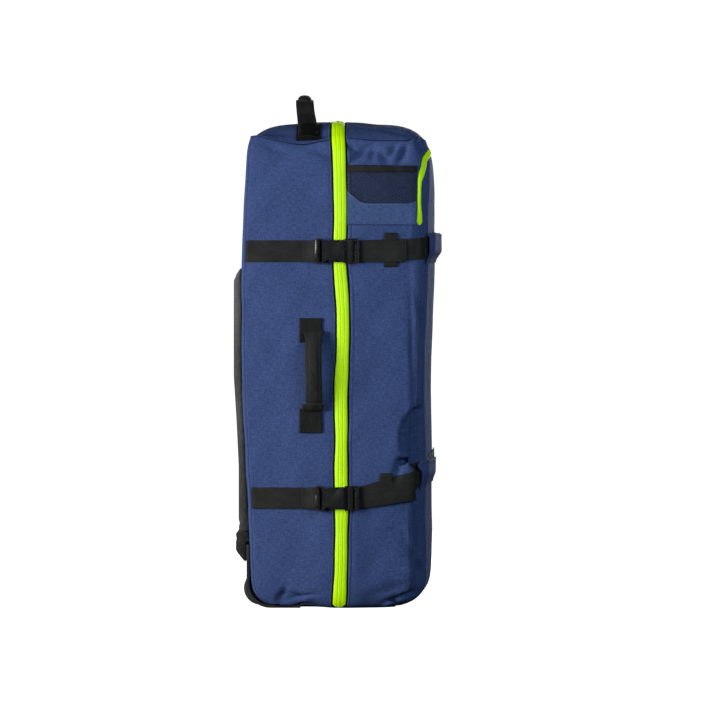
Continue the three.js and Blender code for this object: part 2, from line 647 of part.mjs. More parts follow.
function topGrip() {
  const path = handlePath.filter((p) => Math.abs(p.y) <= TOP_HANDLE.grip + 6);
  const across = [-1, -0.85, -0.45, 0.45, 0.85, 1];
  const place = (sign) => (u, i) => {
    const rise = sign * (sign > 0 ? 9 : 5.5) * Math.sqrt(1 - 0.7 * u * u);
    return path[i].clone().add(new THREE.Vector3(u * (TOP_HANDLE.width / 2 + 2), 0, rise));
  };
  const padded = solid(slab(across, path.map((_, i) => i), place(-1), place(1)));
  return geometryOf(padded.subtract(solid(ribbon(handlePath, ALONG_X, TOP_HANDLE.width + 0.8, 3.2))));
}

function topPatch(side) {
  const columns = [-0.5, 0, 0.5].map((u) => TOP_HANDLE.patchX + u * TOP_HANDLE.patch);
  const rows = [0.62, 0.72, 0.82, 0.9, 0.95];
  const place = (lift) => (x, u) => topPoint(x, side * u, lift);
  return slab(columns, rows, place(0.6), place(3.4));
}

add("top_handle_grip", topGrip(), BLACK_WEBBING);
add("top_handle_anchor_left", topPatch(-1), BLACK_WEBBING);
add("top_handle_anchor_right", topPatch(1), BLACK_WEBBING);

// Side pocket: netting over a cloth patch, bound along its open top edge
function pocketSeam(x) {
  const rear = Math.max((POCKET.left + 34 - x) / 34, 0);
  const fore = Math.max((x - POCKET.right + 18) / 18, 0);
  return POCKET.meshLow + 24 * rear ** 1.5 + 7 * fore * fore;
}

function pocketLift(x, z) {
  const across = Math.sin((Math.PI * (x - POCKET.left)) / (POCKET.right - POCKET.left));
  const up = smoothstep(z, POCKET.bottom, POCKET.band);
  return 0.9 + POCKET.bulge * Math.max(across, 0) ** 0.8 * up;
}

const POCKET_X = steps(POCKET.left, POCKET.right, 7);

function pocketSheet(rows, heightAt, thickness) {
  const place = (extra) => (x, v) => {
    const z = heightAt(x, v);
    return onSide(x, z, -1, pocketLift(x, z) + extra);
  };
  return slab(POCKET_X, rows, place(0), place(thickness));
}

const meshHeight = (x, v) => lerp(pocketSeam(x) + GAP, POCKET.band - GAP, v);
const patchHeight = (x, v) => lerp(POCKET.bottom, pocketSeam(x), v);
const bandHeight = (x, v) => lerp(POCKET.band, POCKET.top, v);
add("pocket_mesh", pocketSheet(steps(0, 1, 4), meshHeight, 1.2), MESH_DARK);
add("pocket_patch", pocketSheet(steps(0, 1, 4), patchHeight, 1.5), BLUE);
add("pocket_binding", pocketSheet([0, 1], bandHeight, 2.6), BINDING);

// Back pads
function backSurface(y, z) {
  return planPoint(Math.abs(y) / (sectionAt(z).half - BACK_CORNER), z, Math.sign(y)).x;
}

function backPad() {
  const columns = [-1, -0.95, -0.8, 0, 0.8, 0.95, 1].map((u) => u * PAD.half);
  const rows = [0, 0.02, 0.06, 0.2, 0.4, 0.6, 0.8, 0.94, 0.98, 1];
  const place = (raised) => (y, f) => {
    const z = lerp(PAD.low, PAD.high, f);
    const edge = (1 - Math.abs(y / PAD.half) ** 10) * (1 - Math.abs(2 * f - 1) ** 24);
    const thick = raised ? 3 + (PAD.thick - 3) * edge : 0;
    return new THREE.Vector3(backSurface(y, z) - 0.9 - thick, y, z);
  };
  return slab(columns, rows, place(false), place(true));
}

function lumbarPad() {
  const columns = [-1, -0.95, -0.8, 0, 0.8, 0.95, 1].map((u) => u * PAD.half);
  const rows = [-1, -0.85, -0.4, 0.3, 0.75, 1];
  const place = (raised) => (y, v) => {
    const round = Math.sqrt(1 - ((v - 0.3) / 1.3) ** 2);
    const thick = raised ? 2 + (LUMBAR.thick - 2) * round * (1 - 0.85 * Math.abs(y / PAD.half) ** 10) : 0;
    return new THREE.Vector3(LUMBAR.back - thick, y, lerp(LUMBAR.low, LUMBAR.high, (v + 1) / 2));
  };
  return slab(columns, rows, place(false), place(true));
}

add("back_pad", backPad(), PAD_GREY);
add("lumbar_pad", lumbarPad(), BLACK_WEBBING);

// Rolling base: an angled plate round the lower back edge, let in for two wheels
function wheelDrum(radius, half, side) {
  const drum = new THREE.CylinderGeometry(radius, radius, 2 * half, 20);
  return solid(drum.translate(WHEEL.x, side * WHEEL.y, WHEEL.z));
}

const WELL_RADIUS = WHEEL.radius + HOUSING.clear;
const WELL_HALF = WHEEL.width / 2 + HOUSING.side;

function basePlate() {
  const outline = [...basePath(0), ...basePath(BASE.thick).toReversed()];
  const wells = wheelDrum(WELL_RADIUS, WELL_HALF, -1).add(wheelDrum(WELL_RADIUS, WELL_HALF, 1));
  return geometryOf(solid(extrudedAcross(outline, BASE.half)).subtract(wells));
}

function wheelHousing(side) {
  const shell = wheelDrum(WELL_RADIUS + HOUSING.wall, WELL_HALF + HOUSING.wall, side);
  const hollow = wheelDrum(WELL_RADIUS, WELL_HALF, side);
  const bore = wheelDrum(AXLE_RADIUS + GAP, WELL_HALF + 20, side);
  const inside = [...basePath(BASE.thick + GAP), [BASE.front, BASE.high]];
  return geometryOf(shell.subtract(hollow).subtract(bore).intersect(solid(extrudedAcross(inside, 300))));
}

function ring(profile, segments) {
  return new THREE.LatheGeometry(profile.map(([r, y]) => new THREE.Vector2(r, y)), segments);
}

const HALF_WHEEL = WHEEL.width / 2;
const AXLE_LENGTH = 2 * (WELL_HALF + HOUSING.wall + 1.5);
const TYRE_PROFILE = [
  [WHEEL.hub, -HALF_WHEEL],
  [WHEEL.radius - 2.5, -HALF_WHEEL],
  [WHEEL.radius, -HALF_WHEEL + 4],
  [WHEEL.radius, HALF_WHEEL - 4],
  [WHEEL.radius - 2.5, HALF_WHEEL],
  [WHEEL.hub, HALF_WHEEL],
  [WHEEL.hub, -HALF_WHEEL],
];
const HUB_BORE = AXLE_RADIUS + GAP;
const HUB_RIM = WHEEL.hub - 0.3;
const HUB_PROFILE = [
  [HUB_BORE, -HALF_WHEEL - 1],
  [9, -HALF_WHEEL - 1],
  [12, -6],
  [HUB_RIM, -HALF_WHEEL + 1],
  [HUB_RIM, HALF_WHEEL - 1],
  [12, 6],
  [9, HALF_WHEEL + 1],
  [HUB_BORE, HALF_WHEEL + 1],
  [HUB_BORE, -HALF_WHEEL - 1],
];

add("base_plate", basePlate(), GLOSSY_BLACK);
for (const [name, side] of [["left", -1], ["right", 1]]) {
  add(`wheel_housing_${name}`, wheelHousing(side), BLACK_PLASTIC);
  const axle = new THREE.CylinderGeometry(AXLE_RADIUS, AXLE_RADIUS, AXLE_LENGTH, 16);
  const turning = [
    add(`axle_${name}`, axle, STEEL),
    add(`wheel_${name}_tyre`, ring(TYRE_PROFILE, 26), TYRE),
    add(`wheel_${name}_hub`, ring(HUB_PROFILE, 18), BLACK_PLASTIC),
  ];
  for (const mesh of turning) mesh.position.set(WHEEL.x, side * WHEEL.y, WHEEL.z);
}

export default group;
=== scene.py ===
# %% [markdown]
# # Dressing a wheeled travel bag
# The CAD model gives every piece of the bag its place and its size. This lesson builds the
# looks around it: sewn cloth walls with folds, a bright zip, webbing, buckles, pads and wheels.
# Nearly every piece is one surface worked out with numpy, so its shape is a formula to read.

import bmesh
import bpy
import numpy as np
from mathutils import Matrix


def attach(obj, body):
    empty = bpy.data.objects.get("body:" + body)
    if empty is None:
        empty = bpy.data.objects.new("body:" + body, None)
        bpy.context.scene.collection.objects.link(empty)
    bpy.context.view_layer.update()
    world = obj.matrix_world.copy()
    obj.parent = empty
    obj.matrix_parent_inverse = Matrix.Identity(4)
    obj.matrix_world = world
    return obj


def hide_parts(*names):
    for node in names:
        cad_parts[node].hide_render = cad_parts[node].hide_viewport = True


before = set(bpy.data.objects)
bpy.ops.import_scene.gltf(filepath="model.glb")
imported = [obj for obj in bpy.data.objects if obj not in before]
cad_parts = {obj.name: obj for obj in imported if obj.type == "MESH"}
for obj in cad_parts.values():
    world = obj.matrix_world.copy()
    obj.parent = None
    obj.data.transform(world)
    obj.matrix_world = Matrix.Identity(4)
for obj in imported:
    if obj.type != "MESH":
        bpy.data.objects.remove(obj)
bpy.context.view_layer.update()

# %% [markdown]
# A surface on a grid needs three things: points, quads between neighbouring points, and a UV
# map for the weave. The UV map is in metres, so that a thread has the same size on every piece.
# Sizes are written in millimetres, as in the CAD source, and turned into metres here, once.

# %% Mesh helpers
MM = 0.001
MERGE = 2e-6


def grid_quads(rows, columns):
    """Corner numbers of each quad of a grid whose points are numbered row by row."""
    corner = np.arange(rows * columns).reshape(rows, columns)
    around = [corner[:-1, :-1], corner[:-1, 1:], corner[1:, 1:], corner[1:, :-1]]
    return np.stack(around, axis=-1).reshape(-1, 4)


def make_mesh(name, points, quads, uv):
    """An object from points (n, 3) in millimetres, quads (m, 4) and UV (n, 2) in millimetres."""
    mesh = bpy.data.meshes.new(name)
    mesh.vertices.add(len(points))
    mesh.vertices.foreach_set("co", (points * MM).astype(np.float32).ravel())
    mesh.loops.add(quads.size)
    mesh.loops.foreach_set("vertex_index", quads.astype(np.int32).ravel())
    mesh.polygons.add(len(quads))
    mesh.polygons.foreach_set("loop_start", np.arange(0, quads.size, 4, dtype=np.int32))
    mesh.update(calc_edges=True)
    layer = mesh.uv_layers.new(name="UVMap")
    layer.data.foreach_set("uv", (uv * MM)[quads.ravel()].astype(np.float32).ravel())
    piece = bpy.data.objects.new(name, mesh)
    bpy.context.scene.collection.objects.link(piece)
    return piece


def grid_piece(name, points, uv, flip=False):
    """A piece from a grid of points (rows, columns, 3). Equal points are merged, which closes
    seams and poles; flip turns the faces over so that they point outwards."""
    rows, columns = points.shape[:2]
    quads = grid_quads(rows, columns)
    if flip:
        quads = quads[:, ::-1]
    piece = make_mesh(name, points.reshape(-1, 3), quads, uv.reshape(-1, 2))
    merge_doubles(piece)
    return piece


def merge_doubles(piece):
    """Joins points that lie on each other and shades the faces smoothly."""
    sculpt = bmesh.new()
    sculpt.from_mesh(piece.data)
    bmesh.ops.remove_doubles(sculpt, verts=sculpt.verts, dist=MERGE)
    bmesh.ops.dissolve_degenerate(sculpt, edges=sculpt.edges, dist=MERGE)
    sculpt.to_mesh(piece.data)
    sculpt.free()
    piece.data.polygons.foreach_set("use_smooth", [True] * len(piece.data.polygons))


def dress(piece, material, slot, *nodes, body="bag"):
    """Gives a piece its finish, lets it ride on a CAD body and stand for CAD nodes."""
    piece.data.materials.append(material)
    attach(piece, body)
    if nodes:
        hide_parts(*nodes)
    print(f"{piece.name}: {len(piece.data.polygons)} faces")
    return piece


def thicken(piece, depth, offset=-1.0):
    """Gives a sheet its thickness in millimetres, inwards unless offset says otherwise."""
    solidify = piece.modifiers.new("thickness", "SOLIDIFY")
    solidify.thickness = depth * MM
    solidify.offset = offset
    solidify.use_even_offset = True
    return piece


# %% [markdown]
# ## The shape of the body
# The bag's walls are a loft: level sections from a short table, with smooth curves between its
# rows. Each section runs through stations: 0 is the middle of the back, 1 to 2 the back corner,
# 2 to 3 the side, 3 to 4 the front corner and 5 the middle of the front. A panel is then a
# rectangle in station and height, and panels that meet share the same edge exactly.

# %% Sections and corners
TOP_EDGE, TOP_CROWN, TOP_PEAK_X = 868.0, 38.5, -10.0
ROOF_ACROSS = 5.0
BACK_CORNER, FRONT_CORNER = 14.0, 45.0
SIDE_CROWN, BACK_CROWN, FRONT_CROWN = 8.0, 5.0, 6.0
FACET, FRONT_TUCK = 0.9, 8.0

# height, x of the back, x of the front, half the width, x of the zip
SECTIONS = np.array([
    [0, -105, 108, 186, 2],
    [2, -113, 116, 190, 2],
    [7, -126, 132, 194.5, 2],
    [14, -141, 146, 197.5, 2.5],
    [26, -152, 159, 199.5, 3],
    [45, -159, 168.5, 200, 4],
    [75, -161, 172, 200, 6.5],
    [117, -162, 172.5, 200, 8],
    [200, -165.5, 171.5, 200, 7],
    [300, -171, 172, 200, 6],
    [420, -176.5, 170, 200, 8],
    [540, -177, 173.5, 200, 10],
    [640, -177, 177, 200, 4],
    [720, -173.5, 176.5, 200, 5.5],
    [790, -171, 177.5, 199, 4],
    [835, -168, 175.5, 196, 3],
    [855, -165, 170.5, 192.5, 2],
    [868, -161, 164, 188, 1],
])


def section_at(z):
    """Back, front, half width and zip at any height: cubic curves through the table's rows,
    each with the slope of the line between its neighbours."""
    z = np.asarray(z, float)
    last = len(SECTIONS) - 1
    i = np.clip(np.searchsorted(SECTIONS[:, 0], z), 1, last)
    low, high = SECTIONS[i - 1], SECTIONS[i]
    before, after = SECTIONS[np.maximum(i - 2, 0)], SECTIONS[np.minimum(i + 1, last)]
    span = high[..., :1] - low[..., :1]
    t = (z[..., None] - low[..., :1]) / span
    slope_low = (high - before) / (high[..., :1] - before[..., :1]) * span
    slope_high = (after - low) / (after[..., :1] - low[..., :1]) * span
    bend = slope_low * t * (1 - t) ** 2 - slope_high * t**2 * (1 - t)
    row = low + (high - low) * t**2 * (3 - 2 * t) + bend
    return row[..., 1], row[..., 2], row[..., 3], row[..., 4]


def bulge_at(z):
    """1 at half height, and 0 at the top and bottom edges, where the walls lie straight."""
    return 1 - np.abs(2 * np.asarray(z, float) / TOP_EDGE - 1) ** 8


def half_at(x, z):
    """Half the body's width seen from the side: crowned between the corners, round at them."""
    back, front, half, _ = section_at(z)
    start, end = back + BACK_CORNER, front - FRONT_CORNER
    f = np.clip(2 * (x - start) / (end - start) - 1, -1, 1)
    rear = np.clip(start - x, 0, BACK_CORNER)
    fore = np.clip(x - end, 0, FRONT_CORNER)
    rear_loss = BACK_CORNER - np.sqrt(BACK_CORNER**2 - rear**2)
    fore_loss = FRONT_CORNER - np.sqrt(FRONT_CORNER**2 - fore**2)
    return half + SIDE_CROWN * (1 - f**2) * bulge_at(z) - rear_loss - fore_loss


def smooth(low, high, value):
    """0 below low, 1 above high, and an S-shaped curve between them."""
    t = np.clip((value - low) / (high - low), 0, 1)
    return t * t * (3 - 2 * t)


def front_seam(z):
    """The station of the seam between side and front, which runs nearer the front higher up."""
    line = np.interp(z, [0, 200, 300, 380, 640, 740, TOP_EDGE], [3.17, 3.18, 3.27, 3.37, 3.38, 3.33, 3.3])
    return line + 0.015 * np.sin(z / 31) + 0.01 * np.sin(z / 13 + 1)


def plan_point(station, z, side, facet=FACET):
    """A point of a level section: a straight back with a slight crown, a front that bows out in
    its middle, and quarter circles at the corners. Past the front seam the circle is flattened by
    a share of the space between the arc and its chord."""
    station, z = np.broadcast_arrays(np.asarray(station, float), np.asarray(z, float))
    back, front, half, _ = section_at(z)
    start, end, bulge = back + BACK_CORNER, front - FRONT_CORNER, bulge_at(z)
    turn_back = np.clip(station - 1, 0, 1) * np.pi / 2
    turn_front = np.clip(station - 3, 0, 1) * np.pi / 2
    seam = front_seam(z)
    flat = np.clip((station - seam) / (4 - seam), 0, 1)
    chord = FRONT_CORNER * (1 - np.cos((4 - seam) * np.pi / 4))
    ends = smooth(0, 30, z) * smooth(0, 50, TOP_EDGE - z)
    radius = FRONT_CORNER - facet * chord * ends * np.sin(np.pi * flat)
    tuck = FRONT_TUCK * bulge
    side_x = start + (end - start) * (station - 2)
    f = 5 - station
    zones = [station > 4, station > 3, station > 2, station > 1]
    x = np.select(zones, [
        front - tuck + (FRONT_CROWN * bulge + tuck) * np.clip(1 - f**2, 0, 1) ** 1.5,
        end + radius * np.sin(turn_front) - tuck * np.sin(turn_front) ** 2,
        side_x,
        start - BACK_CORNER * np.cos(turn_back),
    ], back - BACK_CROWN * (1 - station**2) * bulge)
    y = np.select(zones, [
        f * (half - FRONT_CORNER),
        half - FRONT_CORNER + radius * np.cos(turn_front),
        half_at(side_x, z),
        half - BACK_CORNER + BACK_CORNER * np.sin(turn_back),
    ], station * (half - BACK_CORNER))
    return np.stack([x, side * y, z], axis=-1)


def station_at(x, z):
    """The station of a place on the side."""
    back, front, _, _ = section_at(z)
    start = back + BACK_CORNER
    return 2 + (x - start) / (front - FRONT_CORNER - start)


def unit(v):
    """Vectors scaled to length 1."""
    return v / np.maximum(np.linalg.norm(v, axis=-1, keepdims=True), 1e-9)


print("half width at mid height:", float(half_at(0.0, 430.0)), "mm")

# %% [markdown]
# ## Folds
# Cloth over a half-filled bag never lies smooth. The folds here come from three short tables: a
# fold is a valley with a place, a direction, a length, a width and a depth, or a ridge if the depth
# is below zero. A hollow has a floor as well, and a rim that starts at a share of its radius. A tuck
# is a fold that has fallen over to one side, which leaves one slope in shadow. A cloth simulation
# could find folds by itself, but not these folds, so the main ones are placed one by one. Where a
# strap pulls the bag in, a shallow groove runs along it. Slow waves stand for the rest.

# %% Folds and waves
# x, z, tilt in degrees, half length, half width, depth
FOLDS = np.array([
    [112, 258, 80, 17, 6, 7.0],
    [156, 338, 58, 26, 4.5, 6.0],
    [146, 82, -66, 42, 8, 6.0],
    [155, 84, -67, 42, 4.5, -4.0],
    [114, 17, 19, 34, 4.5, 7.0],
    [104, 34, 14, 52, 13, 6.0],
    [159, 524, -77, 46, 5, 5.0],
    [139, 480, 92, 130, 6.5, 4.0],
    [163, 440, 90, 60, 5, -3.0],
    [-100, 31, 60, 15, 5, 5.0],
    [-62, 21, 10, 26, 5, 4.5],
    [122, 844, 66, 26, 6.5, 12.0],
    [43, 841, 41, 26, 5.5, 10.0],
    [84, 838, 125, 16, 6, 8.0],
    [66, 846, 80, 16, 5, 8.0],
    [102, 848, 62, 20, 5, 9.0],
    [26, 850, -24, 16, 5, 6.0],
    [58, 858, 8, 30, 4, 6.0],
    [-22, 842, 150, 40, 10, 6.0],
    [-92, 838, 35, 30, 9, 4.0],
    [-120, 852, 165, 26, 8, 4.0],
    [-46, 300, 95, 70, 24, 2.0],
    [70, 470, 86, 130, 30, 2.2],
    [-110, 470, 92, 150, 30, 2.0],
    [60, 110, 100, 70, 26, 2.5],
    [-70, 120, 70, 70, 28, 2.5],
    [30, 590, 120, 40, 12, 2.0],
    [150, 700, 80, 40, 9, 3.0],
])
# x, z, tilt in degrees, half length, half width, share where the rim starts, depth
HOLLOWS = np.array([
    [160, 314, 90, 64, 48, 0.8, 20.0],
    [122, 272, 8, 14, 9, 0.4, 24.0],
    [-86, 12, -14, 34, 24, 0.6, 6.0],
])
# x, z, tilt in degrees, half length, half width, depth
TUCKS = np.array([
    [140, 122, -88, 62, 9, 10.0],
    [148, 856, -69, 17, 5, 18.0],
    [112, 22, -163, 30, 8, 9.0],
])
# direction in degrees, wave length, height
WAVES = np.array([
    [12, 150, 0.7],
    [78, 118, 0.6],
    [133, 84, 0.45],
    [48, 61, 0.3],
    [-30, 44, 0.22],
])
# height of each strap, how far it slopes up in front of the buckle
GROOVES = np.array([[661, 0.04], [204, 0.285]])
GROOVE_DEPTH, GROOVE_HALF = 2.6, 34.0
STRAP_TURN = 39.0
# how much lower the right side's folds lie than the left side's, and the cloth's lowest edge
RIGHT_SHIFT, CLOTH_FOOT = 46.0, 1.8


def tilted(table, x, z):
    """Places along and across each row's own direction, by its half length and half width."""
    dx, dz = x[..., None] - table[:, 0], z[..., None] - table[:, 1]
    tilt = np.radians(table[:, 2])
    along = (dx * np.cos(tilt) + dz * np.sin(tilt)) / table[:, 3]
    across = (dz * np.cos(tilt) - dx * np.sin(tilt)) / table[:, 4]
    return along, across


def fold_depth(x, z):
    """How far folds press the cloth in: the sum of depth * exp(-along^2 - across^2)."""
    along, across = tilted(FOLDS, x, z)
    return (FOLDS[:, 5] * np.exp(-(along**2) - across**2)).sum(-1)


def hollow_depth(x, z):
    """How far hollows press the cloth in: the full depth inside the rim, then an S-shaped rise to
    the edge of an ellipse."""
    along, across = tilted(HOLLOWS, x, z)
    return (HOLLOWS[:, 6] * smooth(1.0, HOLLOWS[:, 5], np.hypot(along, across))).sum(-1)


def tuck_depth(x, z):
    """How far tucks press the cloth in. A tuck is a fold that has fallen over: across it the depth
    grows slowly from one side to the other, as a share to the power 1.2, and comes back at once."""
    along, across = tilted(TUCKS, x, z)
    slow = np.clip((across + 1) / 2, 0, 1) ** 1.2
    return (TUCKS[:, 5] * slow * smooth(1.4, 0.95, across) * np.exp(-(along**2))).sum(-1)


def lean(x, z):
    """How far the front half's side leans in below the lower strap: in step with x, and rolled
    under by a square law near the floor."""
    below = 0.11 * np.clip(x - 36, 0, 110) * smooth(235, 165, z)
    return below + 9.0 * smooth(24, 60, x) * np.clip(1 - z / 38, 0, 1) ** 2


def wave_height(x, z):
    """Slow waves: a sum of sines, each along its own direction."""
    turn = np.radians(WAVES[:, 0])
    run = x[..., None] * np.cos(turn) + z[..., None] * np.sin(turn)
    return (WAVES[:, 2] * np.sin(2 * np.pi * run / WAVES[:, 1] + 7 * turn)).sum(-1)


def groove_depth(x, z):
    """A shallow trough along each strap, with the strap's own slope in front of the buckle."""
    line = GROOVES[:, 0] + GROOVES[:, 1] * np.maximum(x[..., None] - STRAP_TURN, 0)
    return (GROOVE_DEPTH * np.exp(-(((z[..., None] - line) / GROOVE_HALF) ** 2))).sum(-1)


def crest(x):
    """How far the top edge lies above its usual height: it rises at the back corner and beside
    the zip, and is pulled down where the top handle is sewn on."""
    rise = 8.5 * np.exp(-(((x + 150) / 28) ** 2)) + 5.0 * np.exp(-(((x - 18) / 32) ** 2))
    return rise + 4.0 * np.exp(-(((x - 148) / 14) ** 2)) - 7.5 * np.exp(-(((x + 66) / 30) ** 2))


def hitch(x):
    """How far the lower edge of the side is drawn up between the base plate and the zip."""
    return 9.0 * np.exp(-(((x + 54) / 24) ** 2))


def wall(station, z, side, lift=0.0, calm=1.0):
    """A point on the cloth: the plan point moved along its normal by lift, less the folds there.
    The normal is taken without the facet, so that it has no jump at the front seam. calm is 1
    for full folds and 0 for none. The lean then narrows the bag, as a share of its half width."""
    station, z = np.broadcast_arrays(np.asarray(station, float), np.asarray(z, float))
    base = plan_point(station, z, side)
    along = plan_point(station + 0.01, z, side, 0) - plan_point(station - 0.01, z, side, 0)
    up = plan_point(station, z + 1, side, 0) - plan_point(station, z - 1, side, 0)
    out = unit(np.cross(up, along)) * side
    x = base[..., 0]
    shift = 0.0 if side < 0 else RIGHT_SHIFT
    ends = smooth(0, 14, z) * smooth(0, 22, TOP_EDGE - z)
    sides = smooth(1.0, 2.05, station) * smooth(0.0, 0.5, 4.1 - station)
    hollows = fold_depth(x, z + shift) + hollow_depth(x, z + shift) + tuck_depth(x, z + shift)
    pressed = (hollows + groove_depth(x, z)) * np.maximum(ends, 0.35) * sides
    waves = wave_height(x + 3 * shift, z) * np.maximum(sides, 0.4) * ends
    moved = base + out * (lift - calm * (pressed - waves))[..., None]
    moved[..., 1] *= 1 - lean(x, z) / section_at(z)[2]
    moved[..., 2] += crest(x) * smooth(TOP_EDGE - 70, TOP_EDGE, z) * np.minimum(station, 1) ** 6
    moved[..., 2] += hitch(x) * smooth(30, 0, z) * smooth(1.9, 2.1, station)
    moved[..., 2] = np.maximum(moved[..., 2], CLOTH_FOOT)
    return moved


def on_side(x, z, side, lift=0.0, calm=1.0):
    """The same, for a place given by its x."""
    x, z = np.broadcast_arrays(np.asarray(x, float), np.asarray(z, float))
    back, front, _, _ = section_at(z)
    end = front - FRONT_CORNER
    past = np.arcsin(np.clip((x - end) / FRONT_CORNER, 0, 1)) / (np.pi / 2)
    station = np.where(x > end, 3 + past, station_at(np.minimum(x, end), z))
    return wall(station, z, side, lift, calm)


def both_walls(on_right, station, z, lift=0.0, calm=1.0):
    """Points on the right wall where on_right is true, and on the left wall elsewhere."""
    left, right = (wall(station, z, side, lift, calm) for side in (-1, 1))
    return np.where(on_right[..., None], right, left)


print("deepest fold:", round(float(fold_depth(FOLDS[:, 0], FOLDS[:, 1]).max()), 1), "mm")

# %% [markdown]
# ## Finishes
# A finish is a small tree of nodes. Blender's image textures would need files, so every pattern
# here is worked out from the UV map: sines make threads, and noise that is stretched along one
# direction makes the uneven yarns of real cloth. Values that are the same all over are set on the
# shader itself.

# %% Node helpers
def add_node(tree, kind, inputs=None, **settings):
    """A node with its settings, and with inputs that are numbers, colours or other sockets."""
    made = tree.nodes.new(kind)
    for key, value in settings.items():
        setattr(made, key, value)
    for key, value in (inputs or {}).items():
        if isinstance(value, bpy.types.NodeSocket):
            tree.links.new(value, made.inputs[key])
        else:
            made.inputs[key].default_value = value
    return made


def math(tree, operation, first, second=0.0, third=0.0):
    """The result of one sum on numbers or sockets."""
    made = add_node(tree, "ShaderNodeMath", {0: first, 1: second, 2: third}, operation=operation)
    return made.outputs[0]


def weighted(tree, start, *terms):
    """start plus each socket times its weight."""
    total = start
    for socket, weight in terms:
        total = math(tree, "MULTIPLY_ADD", socket, weight, total)
    return total


def stripes(tree, run, pitch):
    """A sine from 0 to 1 along a coordinate in metres, one wave for each pitch in millimetres."""
    turn = math(tree, "MULTIPLY", run, 2 * np.pi / (pitch * MM))
    return math(tree, "MULTIPLY_ADD", math(tree, "SINE", turn), 0.5, 0.5)


def stretched_noise(tree, vector, scale, detail=2.0):
    """Noise from about 0 to 1 on coordinates that are scaled differently each way."""
    place = add_node(tree, "ShaderNodeMapping", {"Vector": vector, "Scale": scale}).outputs[0]
    noise = add_node(tree, "ShaderNodeTexNoise", {"Vector": place, "Scale": 1.0, "Detail": detail})
    return noise.outputs["Fac"]


def colour_between(tree, shader, share, first, second):
    """Gives the shader a colour between two, by a share from 0 to 1."""
    mixed = add_node(tree, "ShaderNodeMix", {0: share, 6: (*first, 1), 7: (*second, 1)}, data_type="RGBA")
    tree.links.new(mixed.outputs[2], shader.inputs["Base Color"])


def uv_places(tree):
    """The UV map's socket, and the sockets of its parts along each axis."""
    uv = add_node(tree, "ShaderNodeUVMap", uv_map="UVMap").outputs[0]
    return uv, add_node(tree, "ShaderNodeSeparateXYZ", {0: uv}).outputs


def new_finish(name, roughness, specular=0.3, **constants):
    """A material with its shader's constant values set, its node tree and its shader."""
    material = bpy.data.materials.new(name)
    material.use_nodes = True
    shader = material.node_tree.nodes["Principled BSDF"]
    shader.inputs["Roughness"].default_value = roughness
    shader.inputs["Specular IOR Level"].default_value = specular
    for socket, value in constants.items():
        shader.inputs[socket.replace("_", " ")].default_value = value
    return material, material.node_tree, shader


def raise_surface(tree, shader, height, strength, distance):
    """Lets a height pattern tilt the shading; distance is its full depth in millimetres."""
    bump = add_node(
        tree, "ShaderNodeBump", {"Strength": strength, "Distance": distance * MM, "Height": height}
    )
    tree.links.new(bump.outputs[0], shader.inputs["Normal"])


# %% [markdown]
# The body is heavy plain-weave polyester. Warp and weft yarns cross about every millimetre, and
# some yarns are paler or darker than others, which gives the cloth its fine streaks both ways.

# %% Woven cloth
def woven_finish(name, dark, pale, pitch, streak=1.2):
    """Plain weave: the product of two sines makes the crossings, and two stretched noises, one
    along each yarn, make streaks. Their sum picks a colour between dark and pale."""
    material, tree, shader = new_finish(name, 0.8, 0.14)
    uv, split = uv_places(tree)
    crossing = math(tree, "MULTIPLY", stripes(tree, split[0], pitch), stripes(tree, split[1], pitch))
    warp = stretched_noise(tree, uv, (520.0, 120.0, 1.0))
    weft = stretched_noise(tree, uv, (100.0, 520.0, 1.0))
    cloudy = stretched_noise(tree, uv, (14.0, 10.0, 1.0))
    middle = 0.5 - streak - 0.2 - 0.06
    share = weighted(tree, middle, (warp, streak), (weft, streak), (cloudy, 0.4), (crossing, 0.24))
    colour_between(tree, shader, share, dark, pale)
    raise_surface(tree, shader, weighted(tree, 0.0, (crossing, 1.0), (warp, 0.4), (weft, 0.4)), 0.35, 0.35)
    return material


blue_cloth = woven_finish("blue_cloth", (0.027, 0.047, 0.138), (0.069, 0.11, 0.278), 1.1)
print("finish:", blue_cloth.name)

# %% [markdown]
# ## Cloth panels
# The clamshell has a rear and a front half. Each side is a panel from the zip to a corner seam,
# and its edge beside the zip is turned in, so that a dark line runs along the zip. Subdivision
# surfaces could round such an edge too, but a few closer columns of points keep full control.

# %% Side panels
ZIP_HALF, CLOTH = 12.0, 1.6
ZIP_GAP = {-1: 1.0, 1: 1.5}
TOP_SPREAD = 1.06
BACK_SEAM = 1.57
EDGE_STEPS = np.array([0, 0.7, 1.4, 2.2, 3.2, 4.4, 5.2, 6.0, 8.0])


def zip_line(z):
    """The zip's middle, and how much wider than usual it lies, by height: both waver a little."""
    _, _, _, middle = section_at(z)
    calm = np.interp(z, [450, 620, TOP_EDGE - 70, TOP_EDGE], [1, 0.4, 0.3, 0])
    shift = 0.6 * np.sin(z / 23) + 0.8 * np.sin(z / 47 + 2)
    stretch = 0.045 * np.sin(z / 31 + 1) + 0.03 * np.sin(z / 13)
    return middle + shift * calm, 1 + stretch * calm + (TOP_SPREAD - 1) * smooth(800, TOP_EDGE, z)


def zip_edge(z, sign):
    """x of the cloth's edge behind the zip, for sign -1, or in front of it, for sign 1."""
    middle, stretch = zip_line(z)
    return middle + sign * (ZIP_HALF + ZIP_GAP[sign]) * stretch


def spread(width, step=4.5):
    """Places across a panel, close together at both edges and step apart between them."""
    inner = np.arange(EDGE_STEPS[-1] + step, width - EDGE_STEPS[-1] - step / 2, step)
    return np.concatenate([EDGE_STEPS, inner, width - EDGE_STEPS[::-1]])


